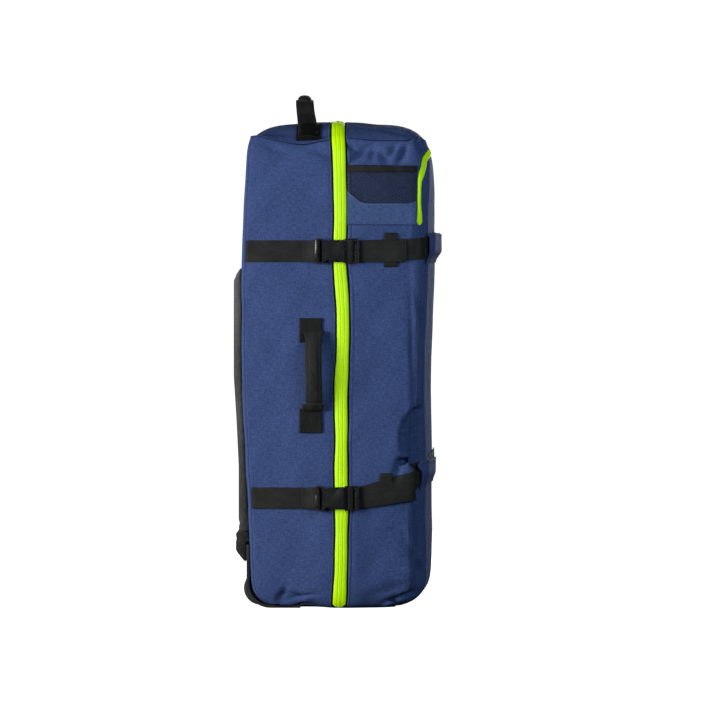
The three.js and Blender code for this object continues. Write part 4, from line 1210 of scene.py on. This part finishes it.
# %% Side handle
PATCH_X, PATCH_HALF = -49.6, 20.6
PATCHES = {"top": (492.0, 537.0), "bottom": (325.0, 370.0)}
GRIP_X, GRIP_LOW, GRIP_HIGH = -43.5, 366.0, 513.0


def patch_points(low, high):
    """A patch on the cloth with slightly lifted corners and a pressed-in middle."""
    x = PATCH_X + np.linspace(-PATCH_HALF, PATCH_HALF, 23)
    z = np.linspace(low, high, 25)
    u, v = (x[None] - PATCH_X) / PATCH_HALF, (2 * z[:, None] - low - high) / (high - low)
    ripple = 0.25 * np.sin(5 * u + 2 * v) * np.cos(4 * v - u)
    return on_side(x[None], z[:, None], -1, 3.0 + 0.35 * u**2 * v**2 + ripple, 0.6)


def grip_points():
    """Rows along the grip, columns round it. The section is a superellipse; two grooves run along
    it, where the wrapped edges meet the core, and both ends flare flat to the patches."""
    foot, head = np.linspace(0, 0.12, 17), np.linspace(0.91, 1, 13)
    f = np.concatenate([foot, np.linspace(0.13, 0.9, 47), head])[:, None]
    angle = np.linspace(0, 2 * np.pi, 49)[None]
    arch = np.sin(np.pi * f) ** 0.75
    flare = smooth(0.88, 1.0, f)
    band = smooth(0.088, 0.08, f)
    neck = np.exp(-(((f - 0.095) / 0.012) ** 2))
    half = 15.6 + 4.4 * flare**2 - 0.6 * arch + 4.6 * band - 0.8 * neck
    thick = 2.4 + 5.6 * arch ** 0.8 * (1 - 0.6 * flare) + 0.7 * band - 1.0 * neck
    c, s = np.cos(angle), np.sin(angle)
    x_part = np.sign(c) * np.abs(c) ** 0.9
    groove = np.exp(-(((np.abs(x_part) - 0.62) / 0.1) ** 2)) * arch * (s > 0)
    x = GRIP_X + half * x_part - 1.8 * band + 0.6 * np.sin(2 * np.pi * f)
    z = GRIP_LOW + (GRIP_HIGH - GRIP_LOW) * f + 0.8 * np.sin(3 * x_part) * flare
    crease = 0.5 * np.sin(7 * x_part + 2) * (flare + band) * (s > 0)
    lift = 6.5 + 18.4 * arch + thick * s - 1.3 * groove + crease
    return on_side(x, np.broadcast_to(z, x.shape), -1, lift, 0.3)


for name, (low, high) in PATCHES.items():
    sewn_sheet(f"side_handle_patch_{name}", patch_points(low, high), 2.6, dark_webbing, "black_webbing",
               f"side_handle_anchor_{name}")

points = grip_points()
grip = grid_piece("side_handle_grip_webbing", close_ends(points), sheet_uv(close_ends(points)), True)
dress(grip, black_webbing, "black_webbing", "side_handle_grip")

patch_lines = [
    line for low, high in PATCHES.values()
    for line in box_and_cross(PATCH_X - 17, PATCH_X + 17, low + 4, high - 4, 3.25)
]
stitch_piece("side_handle_stitches", *stitch_lines(patch_lines), OUT_LEFT, 0.5, black_thread, "black_webbing")

# %% [markdown]
# ## Top handle
# The top handle is a strap that arches over the top from edge to edge, sewn down under a patch at
# each end. Its middle is wrapped round a soft core. The strap is a band profile on an arch, and the
# wrap is a tube round it.

# %% Top handle
HANDLE_X, HANDLE_TOP, HANDLE_WIDTH = -55.0, 950.0, 33.0
HANDLE_LEAN = -7.5


def handle_arch():
    """Half the arch as listed places across the bag and heights, mirrored and then evened out."""
    half = float(half_at(HANDLE_X, TOP_EDGE))
    foot_y = np.array([-176.0, -150.0, -128.0])
    foot_z = top_point(np.full(3, HANDLE_X), foot_y / half)[:, 2] + [6.4, 6.0, 7.6]
    y = np.concatenate([foot_y, [-106, -90, -74, -36, 0]])
    z = np.concatenate([foot_z, HANDLE_TOP - np.array([32, 15, 7, 1, 0])])
    stops = np.stack([np.concatenate([y, -y[-2::-1]]), np.concatenate([z, z[-2::-1]])], axis=-1)
    return even_path(stops, 1.5, 9)


def carried(path, a, h):
    """A profile carried along the arch: a along x, h along the arch's normal. The whole leans back
    a little with its height."""
    ahead = unit(np.gradient(path, axis=0))
    y = path[:, :1] - ahead[:, 1:] * h
    z = path[:, 1:] + ahead[:, :1] * h
    back = HANDLE_LEAN * smooth(880, HANDLE_TOP, z)
    wide = a * (1 + 0.1 * smooth(945, 890, z))
    return np.stack(np.broadcast_arrays(HANDLE_X + back + wide, y, z), axis=-1)


arch_path, arch_run = handle_arch()
a, h = band_profile(HANDLE_WIDTH, 2.4)
points = close_ends(carried(arch_path, a[None], h[None]))
handle_strap = grid_piece("top_handle_strap_webbing", points, sheet_uv(points))
dress(handle_strap, black_webbing, "black_webbing", "top_handle_strap")

wrapped = np.abs(arch_path[:, 0]) <= 70
angle = np.linspace(0, 2 * np.pi, 41)[None]
run = (arch_run[wrapped] - arch_run[wrapped].mean()) / np.ptp(arch_run[wrapped]) * 2
ends = (1 - np.abs(run) ** 14)[:, None]
c, s = np.cos(angle), np.sin(angle)
round_a = np.sign(c) * np.abs(c) ** 0.85 * (10.6 + 2.4 * ends)
round_h = np.where(s > 0, 3.0 + 7.0 * ends, 2.0 + 4.0 * ends) * np.sign(s) * np.abs(s) ** 0.85
seam = -0.9 * np.exp(-((angle - 1.5 * np.pi) ** 2) / 0.01)
points = close_ends(carried(arch_path[wrapped], round_a, round_h - seam))
wrap = grid_piece("top_handle_wrap", points, sheet_uv(points), True)
dress(wrap, black_webbing, "black_webbing", "top_handle_grip")

# %% [markdown]
# The patches at the handle's feet follow the dome down to the side, and a stitched line shows where
# each one is folded over the strap.

# %% Handle patches
def top_patch_points(side):
    """Columns along x, rows across the bag; the patch swells over the strap that it covers."""
    x = -54.0 + np.linspace(-22.5, 22.5, 27)
    u = np.linspace(0.76, 0.985, 33)
    over = np.exp(-(((x - HANDLE_X) / 16) ** 6))[None]
    lift = 3.0 + 5.6 * over * smooth(1.0, 0.95, u)[:, None]
    points = top_point(x[None], side * u[:, None], lift)
    points[..., 1] += side * 2.2 * smooth(0.9, 0.97, u)[:, None]
    return points


fold_lines = []
for hand, side in (("left", -1), ("right", 1)):
    points = top_patch_points(side)
    sewn_sheet(f"top_handle_patch_{hand}", points, 2.0, deep_webbing_and_shadow, "black_webbing",
               f"top_handle_anchor_{hand}", side < 0)
    fold_lines += [points[3] + [0, 0, 0.3], points[-4] + [0, side * 0.2, 0.2]]
    fold_lines += [points[3:-3, 2], points[3:-3, -3]]
stitch_piece("top_handle_stitches", *stitch_lines(fold_lines), np.array([0.0, 0.0, 1.0]), 0.5, grey_thread,
             "black_webbing")

# %% [markdown]
# ## Side pocket
# The pocket is a patch of cloth with fine netting above it and a dark binding along its open top.
# A sheet with a picture of a net would do from far away, but real netting lets the cloth behind it
# show and throws its shadow there. So each thread is a thin tube, in two families that cross.

# %% Pocket shape
POCKET_LEFT, POCKET_RIGHT = 18.0, 147.0
POCKET_BOTTOM, POCKET_BAND, POCKET_TOP, NET_LOW = 709.5, 806.6, 818.6, 750.0


def pocket_seam(x):
    """Height of the seam between patch and netting: level, and turned up at both ends."""
    rear = np.maximum((POCKET_LEFT + 34 - x) / 34, 0)
    fore = np.maximum((x - POCKET_RIGHT + 18) / 18, 0)
    return NET_LOW + 24 * rear**1.5 + 7 * fore**2


def pocket_lift(x, z):
    """How far the pocket stands off the side: a low arch that opens towards the top."""
    across = np.sin(np.pi * np.clip((x - POCKET_LEFT) / (POCKET_RIGHT - POCKET_LEFT), 0, 1))
    sag = 1.6 * np.exp(-(((x - 104) / 9) ** 2)) + 1.0 * np.exp(-(((x - 62) / 14) ** 2))
    open_up = smooth(POCKET_BOTTOM, POCKET_BAND, z)
    return 2.2 + (9.4 * across**0.8 - sag) * open_up


def pocket_sheet(x, z, lift=0.0):
    """Points of the pocket at places x and heights z."""
    return on_side(x, z, -1, pocket_lift(x, z) + lift, 0.5)


pocket_x = np.linspace(POCKET_LEFT, POCKET_RIGHT, 63)[None]
share = np.linspace(0, 1, 31)[:, None]
edge = turned_edge(np.minimum(share, 1 - share) * 45) * 0.5
points = pocket_sheet(pocket_x, POCKET_BOTTOM + share * (pocket_seam(pocket_x) - POCKET_BOTTOM), edge)
pocket_blue = woven_finish("pocket_cloth", (0.034, 0.06, 0.155), (0.085, 0.135, 0.305), 1.1)
sewn_sheet("pocket_patch_cloth", points, 1.3, pocket_blue, "blue_cloth", "pocket_patch")

# %% Netting
NET_PITCH, NET_RADIUS, NET_TILT = 4.2, 0.58, 48.0


def thread_points(tilt):
    """All threads of one family at once. A thread is a straight line in the pocket's own x and z,
    cut at the net's edges; round it goes a tube of six sides. Threads too short to see are left out."""
    angle = np.radians(tilt)
    ahead = np.array([np.cos(angle), np.sin(angle)])
    aside = np.array([-ahead[1], ahead[0]])
    middle = np.array([(POCKET_LEFT + POCKET_RIGHT) / 2, (NET_LOW + POCKET_BAND) / 2])
    number = np.arange(-23, 24)[:, None] * NET_PITCH
    reach = np.linspace(-90, 90, 181)[None]
    x, z = (middle[k] + number * aside[k] + reach * ahead[k] for k in range(2))
    inside = (x > POCKET_LEFT) & (x < POCKET_RIGHT) & (z > pocket_seam(x) - 1) & (z < POCKET_BAND + 1)
    kept = inside.sum(1) > 4
    first = np.where(inside, reach, 1e3).min(1)
    last = np.where(inside, reach, -1e3).max(1)
    t = np.linspace(0, 1, 37)[None]
    along = (first[:, None] + (last - first)[:, None] * t)[kept]
    x, z = (middle[k] + number[kept] * aside[k] + along * ahead[k] for k in range(2))
    over = 0.3 * np.sin(np.pi * along / NET_PITCH + (0 if tilt > 0 else np.pi))
    turn = np.linspace(0, 2 * np.pi, 7)
    ring_across, ring_out = NET_RADIUS * np.cos(turn), 0.6 * NET_RADIUS * np.sin(turn)
    ring_x = x[..., None] + ring_across * aside[0]
    ring_z = z[..., None] + ring_across * aside[1]
    lift = pocket_lift(x, z)[..., None] + over[..., None] + ring_out
    return on_side(ring_x, ring_z, -1, lift, 0.5), along


net_points, net_runs = zip(*(thread_points(tilt) for tilt in (NET_TILT, -NET_TILT)))
net_points = np.concatenate(net_points)
threads, steps, sides = net_points.shape[:3]
quads = grid_quads(steps, sides)[:, ::-1]
quads = (quads[None] + steps * sides * np.arange(threads)[:, None, None]).reshape(-1, 4)
net_uv = np.zeros((threads, steps, sides, 2))
net_uv[..., 0] = np.arange(sides) * 0.5
net_uv[..., 1] = np.concatenate(net_runs)[..., None]
net = make_mesh("pocket_netting", net_points.reshape(-1, 3), quads, net_uv.reshape(-1, 2))
merge_doubles(net)
net_yarn = webbing_finish("net_yarn", (0.007, 0.008, 0.011), (0.058, 0.064, 0.084), 0.7)
dress(net, net_yarn, "pocket_net", "pocket_mesh")

# %% Binding and pocket stitches
bind_z = np.linspace(0, 1, 15)[:, None]
fold = 1.5 * np.sqrt(np.clip(1 - (2 * bind_z - 1) ** 6, 0, 1))
fold = fold - 0.5 * np.exp(-(((bind_z - 0.25) / 0.07) ** 2))
points = pocket_sheet(pocket_x, POCKET_BAND + bind_z * (POCKET_TOP - POCKET_BAND), fold)
binding_yarn = webbing_finish("binding_yarn", (0.008, 0.008, 0.008), (0.03, 0.029, 0.029), 1.2, 0.0)
sewn_sheet("pocket_binding_tape", points, 2.4, binding_yarn, "black_webbing", "pocket_binding")

seam_x = np.linspace(POCKET_LEFT + 1, POCKET_RIGHT - 1, 160)
pale_thread = webbing_finish("pale_thread", (0.12, 0.17, 0.33), (0.3, 0.37, 0.55), 0.8)
seam_line = pocket_sheet(seam_x, pocket_seam(seam_x) - 2.6, 0.15)
stitch_piece("pocket_stitches", *stitch_lines([seam_line], 3.0, 2.2), OUT_LEFT, 0.45, pale_thread,
             "blue_cloth")
hem_line = pocket_sheet(seam_x, np.full_like(seam_x, POCKET_BOTTOM + 3.2), 0.1)
tape_line = pocket_sheet(seam_x, np.full_like(seam_x, POCKET_BAND + 3.0), 1.1)
stitch_piece("pocket_hem_stitches", *stitch_lines([hem_line], 3.2, 2.4), OUT_LEFT, 0.42, blue_thread,
             "blue_cloth")
stitch_piece("binding_stitches", *stitch_lines([tape_line], 3.2, 2.4), OUT_LEFT, 0.42, black_thread,
             "black_webbing")

# %% [markdown]
# ## Front pocket zip
# The front panel has a pocket of its own, with a zip like an upturned U. It starts on the left
# corner, climbs, crosses the front under the top edge and comes down on the right corner. It is made
# like the main zip: strips across a path, here a path of stations and heights.

# %% Front zip
FRONT_ZIP_PATH = np.array([
    [3.345, 708], [3.345, 728], [3.3, 748], [3.28, 774], [3.287, 793], [3.353, 804],
    [3.5, 820], [3.72, 836], [3.95, 846], [4.3, 851], [5.0, 853],
])
# height on the zip's left leg, half width there: the cloth closes over its middle
FRONT_ZIP_WIDTH = np.array([[700, 7.4], [716, 7], [728, 5.8], [742, 4.2], [774, 3.6], [790, 4.2], [804, 6.6],
                            [820, 8.4], [837, 7.6], [860, 6.5]])


def front_zip_path():
    """The U's path on the front, its outward direction and its run in millimetres."""
    left = FRONT_ZIP_PATH
    stops = np.concatenate([left, np.stack([10 - left[-2::-1, 0], left[-2::-1, 1]], axis=-1)])
    scaled, _ = even_path(stops * [70.0, 1.0], 1.0, 11)
    loop, z = scaled[:, 0] / 70.0, scaled[:, 1]
    station = np.minimum(loop, 10 - loop)
    middle, above = (both_walls(loop >= 5, station, z, lift) for lift in (0.0, 1.0))
    run = run_along(middle)
    rounded = np.sqrt(np.clip(np.minimum(run, run[-1] - run) / 6, 0.04, 1))
    return middle, unit(above - middle), run, np.interp(z, *FRONT_ZIP_WIDTH.T) * rounded


front_middle, front_out, front_run, front_half = front_zip_path()
front_aside = unit(np.cross(front_out, np.gradient(front_middle, axis=0)))


def front_strip(v, lift):
    """Points across the zip: v from -1 to 1 of its half width, and a lift for each."""
    return (
        front_middle[:, None] + front_aside[:, None] * (v * front_half[:, None])[..., None]
        + front_out[:, None] * lift[..., None]
    )


v = np.linspace(-1, 1, 15)[None]
arch = 1.9 + 0.9 * np.cos(v * np.pi / 2) ** 0.7 - 1.6 * smooth(0.82, 1.0, np.abs(v))
points = front_strip(v, np.broadcast_to(arch, (len(front_run), 15)))
tape = thicken(grid_piece("front_zip_tape_strip", points, strip_uv(v[0] * 5, front_run), True), 0.9)
dress(tape, neon_tape, "neon_zip", "front_zip_tape")

v = 0.5 * np.sin(np.linspace(-np.pi / 2, np.pi / 2, 11))[None]
phase = 2 * np.pi * front_run[:, None] / 2.2 + np.pi * (v > 0)
ridge = np.sqrt(1 - (v / 0.51) ** 2) * (1 - 0.4 * np.exp(-((v / 0.1) ** 2)))
points = front_strip(v, 2.5 + 1.4 * ridge * (0.8 + 0.2 * np.sin(phase)))
coil = thicken(grid_piece("front_zip_coil_strip", points, strip_uv(v[0] * 5, front_run), True), 0.7)
dress(coil, neon_coil, "neon_zip", "front_zip_coil")

# %% [markdown]
# ## Back pads
# The back carries a long pad and a thick lumbar roll under it, both of dark grey fabric over foam.
# Blender's cloth simulation is the natural way to fill such a pad: a slightly thin pad is turned
# into an even net of points, air pressure swells it, and each point may move only so far. The face
# that lies on the bag is then pressed flat again.

# %% Padded fabric
def padding_finish(name, dark, pale, pitch):
    """A knitted face: small diamonds from two slanted sines across the back, in the object's own
    coordinates, because a remeshed pad has no UV map, and wear from a slow noise. It is paler
    higher up: painted light, as if the upper pad were lit more."""
    material, tree, shader = new_finish(name, 0.92, 0.12, Sheen_Weight=0.04, Sheen_Roughness=0.5)
    place = add_node(tree, "ShaderNodeTexCoord").outputs["Object"]
    split = add_node(tree, "ShaderNodeSeparateXYZ", {0: place}).outputs
    across = math(tree, "ADD", split[1], split[0])
    rising = stripes(tree, math(tree, "ADD", across, split[2]), pitch)
    falling = stripes(tree, math(tree, "SUBTRACT", across, split[2]), pitch)
    knit = math(tree, "MULTIPLY", rising, falling)
    yarn = stretched_noise(tree, place, (500.0, 500.0, 120.0))
    wear = stretched_noise(tree, place, (16.0, 16.0, 9.0), 4.0)
    # The height term paints light: the pad gets paler higher up, as if lit more there.
    share = weighted(tree, -1.3, (knit, 0.5), (yarn, 1.0), (wear, 1.0), (split[2], 1.4))
    colour_between(tree, shader, share, dark, pale)
    raise_surface(tree, shader, weighted(tree, 0.0, (knit, 1.0), (yarn, 0.5)), 0.5, 0.5)
    return material


grey_pad = padding_finish("grey_pad", (0.033, 0.033, 0.0305), (0.122, 0.122, 0.114), 3.2)
black_pad = padding_finish("black_pad", (0.02, 0.02, 0.0193), (0.08, 0.08, 0.077), 3.2)

# %% Pad shapes
PAD_HALF, SLACK, LUMBAR_BACK = 150.0, 1.5, -169.5
# heights and the outer face's x there, for the long pad and for the lumbar roll
PAD_FACE = np.array([
    [139, -183.6], [262, -183.6], [300, -185.4], [340, -187.3], [400, -191.0], [430, -192.9],
    [607, -192.9], [618, -191.0], [627, -184.5], [633, -179.5],
])
LUMBAR_FACE = np.array([[82, -172.0], [104, -189.2], [140, -189.2]])


def back_x(y, z):
    """The back wall's x at places across and heights."""
    _, _, half, _ = section_at(z)
    return plan_point(np.abs(y) / (half - BACK_CORNER), z, 1)[..., 0]


def pad_grid(face, rest_x):
    """A closed pad as one tube: from the middle of one edge over the face on the bag to the other
    edge, and back over the outer face, which is crowned a little and blunt at its sides."""
    y = PAD_HALF * np.sin(np.linspace(-np.pi / 2, np.pi / 2, 61))[None]
    f = np.sin(np.linspace(-np.pi / 2, np.pi / 2, 91))[:, None] / 2 + 0.5
    z = face[0, 0] + np.ptp(face[:, 0]) * f
    inner = rest_x(y, z)
    depth = inner - np.interp(z, *face.T) + 2.0 * (1 - (y / PAD_HALF) ** 2) - SLACK
    outer = inner - np.maximum(depth, 3.0) * (1 - 0.3 * np.abs(y / PAD_HALF) ** 24)
    edge = (inner + outer) / 2
    round_y = np.concatenate([y[0, :1], y[0], y[0, -1:], y[0, ::-1], y[0, :1]])
    x = np.concatenate([edge[:, :1], inner, edge[:, -1:], outer[:, ::-1], edge[:, :1]], axis=1)
    return np.stack(np.broadcast_arrays(x, round_y[None], z), axis=-1)


def swell(piece, voxel, pressure, cap, frames=20):
    """Remeshes a pad to even quads, lets cloth under air pressure swell it, and keeps each point
    within cap millimetres of its start."""
    remesh = piece.modifiers.new("even", "REMESH")
    remesh.mode = "VOXEL"
    remesh.voxel_size = voxel * MM
    depsgraph = bpy.context.evaluated_depsgraph_get()
    piece.data = bpy.data.meshes.new_from_object(piece.evaluated_get(depsgraph))
    piece.modifiers.clear()
    start = np.empty(len(piece.data.vertices) * 3)
    piece.data.vertices.foreach_get("co", start)
    cloth = piece.modifiers.new("cloth", "CLOTH")
    cloth.settings.use_pressure = True
    cloth.settings.uniform_pressure_force = pressure
    cloth.settings.effector_weights.gravity = 0
    cloth.settings.quality = 6
    scene = bpy.context.scene
    for step in range(1, frames + 1):
        scene.frame_set(step)
    depsgraph = bpy.context.evaluated_depsgraph_get()
    filled = piece.evaluated_get(depsgraph).data
    end = np.empty_like(start)
    filled.vertices.foreach_get("co", end)
    move = (end - start).reshape(-1, 3)
    far = np.linalg.norm(move, axis=1, keepdims=True)
    move *= np.minimum(1, cap * MM / np.maximum(far, 1e-9))
    piece.modifiers.clear()
    scene.frame_set(1)
    start = start + move.ravel()
    print(f"{piece.name}: swelled by up to {far.max() / MM:.1f} mm, kept to {cap} mm")
    return start.reshape(-1, 3) / MM


def finish_pad(piece, points, channel):
    """Sews a channel into the pad and evens its surface out."""
    points[:, 0] += channel(points)
    piece.data.vertices.foreach_set("co", (points * MM).astype(np.float32).ravel())
    piece.data.polygons.foreach_set("use_smooth", [True] * len(piece.data.polygons))
    piece.data.update()
    even = piece.modifiers.new("even", "SMOOTH")
    even.iterations = 2
    return piece


def pad_seam(points):
    """Depth of the long pad's seam, which runs round its outer face at an inset from its border."""
    edge_y = PAD_HALF - np.abs(points[:, 1])
    edge_z = np.minimum(points[:, 2] - PAD_FACE[0, 0], PAD_FACE[-1, 0] - points[:, 2])
    outer = points[:, 0] < back_x(points[:, 1], points[:, 2]) - 4
    return 2.6 * np.exp(-(((np.minimum(edge_y, edge_z) - 16) / 3.2) ** 2)) * outer


def lumbar_seam(points):
    """Depth of a level seam near the top of the lumbar roll's outer face."""
    return 1.6 * np.exp(-(((points[:, 2] - 126) / 2.6) ** 2)) * (points[:, 0] < LUMBAR_BACK - 8)


def pad_rest(y, z):
    """The back wall, pressed in a little under the long pad."""
    return back_x(y, z) + 2.0


def lumbar_rest(y, z):
    """The plate's face, and above the plate the back wall."""
    return LUMBAR_BACK - 0.4 + (back_x(y, z) + 2.4 - LUMBAR_BACK) * smooth(119.5, 122.5, z)


points = close_ends(pad_grid(PAD_FACE, pad_rest))
back_pad = grid_piece("back_pad_fabric", points, points[..., 1:])
points = swell(back_pad, 4.0, 4.0, 2.2)
points[:, 0] = np.minimum(points[:, 0], pad_rest(points[:, 1], points[:, 2]))
finish_pad(back_pad, points, pad_seam)
dress(back_pad, grey_pad, "grey_pad", "back_pad")

points = close_ends(pad_grid(LUMBAR_FACE, lumbar_rest))
lumbar_pad = grid_piece("lumbar_pad_fabric", points, points[..., 1:])
points = swell(lumbar_pad, 3.0, 4.0, 2.0)
points[:, 0] = np.minimum(points[:, 0], lumbar_rest(points[:, 1], points[:, 2]))
finish_pad(lumbar_pad, points, lumbar_seam)
dress(lumbar_pad, black_pad, "grey_pad", "lumbar_pad")

# %% [markdown]
# ## Rolling base
# A glossy moulded plate wraps the lower back edge, with a wheel let in near each end. The plate,
# the housings and the axles keep their CAD shape: the plate's edges are rounded, and the others get
# a finish. A wheel is turned on a lathe: a profile carried round its axle, with a grooved tread.

# %% Plate, housings and axles
gloss_black = moulded_finish(
    "gloss_black", (0.017, 0.017, 0.019), (0.036, 0.036, 0.039), 0.4, 0.4, grain=1400.0, depth=0.02
)
dress(rounded_copy("base_plate", 1.2), gloss_black, "gloss_black", "base_plate")


def steel_finish():
    """Turned steel: fine rings round the axle from noise that is stretched, and a dull gloss."""
    material, tree, shader = new_finish("steel", 0.3, 0.5, Metallic=1.0)
    place = add_node(tree, "ShaderNodeTexCoord").outputs["Object"]
    rings = stretched_noise(tree, place, (40.0, 3000.0, 40.0))
    colour_between(tree, shader, rings, (0.36, 0.36, 0.37), (0.62, 0.62, 0.63))
    tree.links.new(weighted(tree, 0.22, (rings, 0.2)), shader.inputs["Roughness"])
    raise_surface(tree, shader, rings, 0.3, 0.05)
    return material


steel = steel_finish()
for hand in ("left", "right"):
    for node, finish in ((f"wheel_housing_{hand}", black_plastic), (f"axle_{hand}", steel)):
        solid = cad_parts[node]
        solid.data.materials.clear()
        solid.data.materials.append(finish)

# %% Wheels
WHEEL_X, WHEEL_Y, WHEEL_Z = -142.5, 158.0, 36.5
# radius, place across: up one face of the tyre, over the tread and down the other face
TYRE = np.array([
    [22.1, -10.6], [22.6, -11.6], [25, -12], [28, -12], [29.8, -11.4], [31, -9.8], [31.7, -7.5], [32, -4.5],
    [32, 0], [32, 4.5], [31.7, 7.5], [31, 9.8], [29.8, 11.4], [28, 12], [25, 12], [22.6, 11.6],
    [22.1, 10.6], [22.1, -10.6],
])
HUB = np.array([
    [4.5, -12.9], [8.6, -12.9], [9.2, -12.2], [10, -9], [12, -6.4], [18.6, -7.4], [19.4, -10.6],
    [20.2, -11.2], [21.6, -10.8], [21.6, 10.8], [20.2, 11.2], [19.4, 10.6], [18.6, 7.4], [12, 6.4],
    [10, 9], [9.2, 12.2], [8.6, 12.9], [4.5, 12.9], [4.5, -12.9],
])


def turned(profile, side, relief):
    """A profile of radii and places carried round the wheel's axle. relief(angle, radius, place)
    changes the two at each angle: it cuts the tread and stands the spokes up."""
    angle = np.linspace(0, 2 * np.pi, 97)[:, None]
    even, _ = even_path(profile, 0.7, 1)
    even = np.concatenate([even, even[:1]])
    radius, place = relief(angle, even[None, :, 0], even[None, :, 1])
    x, z = WHEEL_X + radius * np.cos(angle), WHEEL_Z + radius * np.sin(angle)
    points = np.stack(np.broadcast_arrays(x, side * WHEEL_Y + place, z), axis=-1)
    uv = np.stack(np.broadcast_arrays(np.arange(even.shape[0])[None] * 0.7, angle * 30), axis=-1)
    return points, uv


def tread(angle, radius, place):
    """Two grooves round the tyre and shallow cross cuts at its shoulders."""
    grooves = 0.9 * np.exp(-(((np.abs(place) - 3.6) / 0.8) ** 2)) * (radius > 31)
    shoulder = smooth(5.2, 7.0, np.abs(place)) * smooth(28.5, 30.5, radius)
    cuts = 0.7 * smooth(0.3, 0.7, np.sin(24 * angle)) * shoulder
    return radius - grooves - cuts, place + 0 * angle


def spokes(angle, radius, place):
    """Six spokes stand out of the hub's dished faces."""
    out = 2.6 * smooth(-0.1, 0.5, np.cos(6 * angle)) * smooth(9.5, 12, radius) * smooth(19.2, 17.6, radius)
    return radius + 0 * angle, place + np.sign(place) * out


rubber = moulded_finish("tyre_rubber", (0.018, 0.018, 0.018), (0.048, 0.048, 0.047), 0.7, 0.3, 700.0, 0.12)
for hand, side in (("left", -1), ("right", 1)):
    tyre = grid_piece(f"wheel_{hand}_tyre_tread", *turned(TYRE, side, tread))
    dress(tyre, rubber, "tyre", f"wheel_{hand}_tyre", body=f"wheel_{hand}")
    hub = grid_piece(f"wheel_{hand}_hub_spokes", *turned(HUB, side, spokes))
    dress(hub, black_plastic, "black_plastic", f"wheel_{hand}_hub", body=f"wheel_{hand}")

# %% [markdown]
# ## Light, floor and camera
# The photograph is a studio picture from the side with a long lens, on white. The camera stands
# 9 m away, level with the middle of the picture, and one pixel is 1.85 mm at the bag's near side.
# A broad lamp from the left shapes the folds. Weaker ones fill the front, with a little blue, the
# back, and the right side, which only views from behind show.

# %% Camera
PIXELS, PIXEL_MM, SENSOR = 720, 1.85, 36.0
DISTANCE, NEAR_SIDE = 9000.0, 205.0
VIEW_X, VIEW_Z = 41.6, 459.7
lens = bpy.data.cameras.new("camera")
lens.sensor_width = SENSOR
lens.lens = SENSOR * DISTANCE / (PIXELS * PIXEL_MM)
camera = bpy.data.objects.new("camera", lens)
camera.location = (VIEW_X * MM, -(NEAR_SIDE + DISTANCE) * MM, VIEW_Z * MM)
camera.rotation_euler = (np.pi / 2, 0, 0)
bpy.context.scene.collection.objects.link(camera)
bpy.context.scene.camera = camera
print("focal length:", round(lens.lens, 1), "mm")

# %% Lights
def soft_light(name, azimuth, elevation, distance, size, power, colour=(1, 1, 1)):
    """A square lamp that looks at the middle of the bag; angles in degrees, sizes in metres."""
    lamp = bpy.data.lights.new(name, "AREA")
    lamp.size = size
    lamp.energy = power
    lamp.color = colour
    turn, rise = np.radians(azimuth), np.radians(elevation)
    away = np.array([np.sin(turn) * np.cos(rise), -np.cos(turn) * np.cos(rise), np.sin(rise)])
    holder = bpy.data.objects.new(name, lamp)
    holder.location = np.array([0, 0, 0.45]) + away * distance
    holder.rotation_euler = (np.pi / 2 - rise, 0, turn)
    bpy.context.scene.collection.objects.link(holder)


soft_light("key", -55, 5, 3.6, 2.0, 162)
soft_light("front_fill", 40, 17, 2.4, 1.0, 18.5, (0.68, 0.87, 1.0))
soft_light("back_fill", -130, 6, 4.0, 1.6, 16)
soft_light("right_fill", 165, 15, 3.6, 2.0, 70)
world = bpy.data.worlds.new("studio")
world.use_nodes = True
world.node_tree.nodes["Background"].inputs["Color"].default_value = (1, 1, 1, 1)
world.node_tree.nodes["Background"].inputs["Strength"].default_value = 0.04
bpy.context.scene.world = world
bpy.context.scene.view_settings.view_transform = "Standard"

# %% [markdown]
# The floor is a wide dish that sweeps up into a backdrop far away all round, so no edge shows. It
# is pale and glows, which keeps it as white as the photograph's background.

# %% Floor
FLOOR_GLOW = 1.05
reach, bend = 12000.0, 1500.0
turn = np.linspace(0, np.pi / 2, 17)
around = np.linspace(0, 2 * np.pi, 97)[None]
ring = np.concatenate([[0.0], reach + bend * np.sin(turn), [reach + bend]])[:, None]
rise = np.concatenate([[0.0], bend * (1 - np.cos(turn)), [7000.0]])[:, None] - 0.6
dish = np.stack(np.broadcast_arrays(ring * np.cos(around), ring * np.sin(around), rise), axis=-1)
floor = grid_piece("floor", dish, dish[..., :2] * 0.05)
paper, tree, shader = new_finish("paper", 0.9, 0.1, Emission_Strength=FLOOR_GLOW)
shader.inputs["Emission Color"].default_value = (1, 1, 1, 1)
shader.inputs["Base Color"].default_value = (0.86, 0.86, 0.86, 1)
floor.data.materials.append(paper)
floor.visible_diffuse = floor.visible_glossy = False
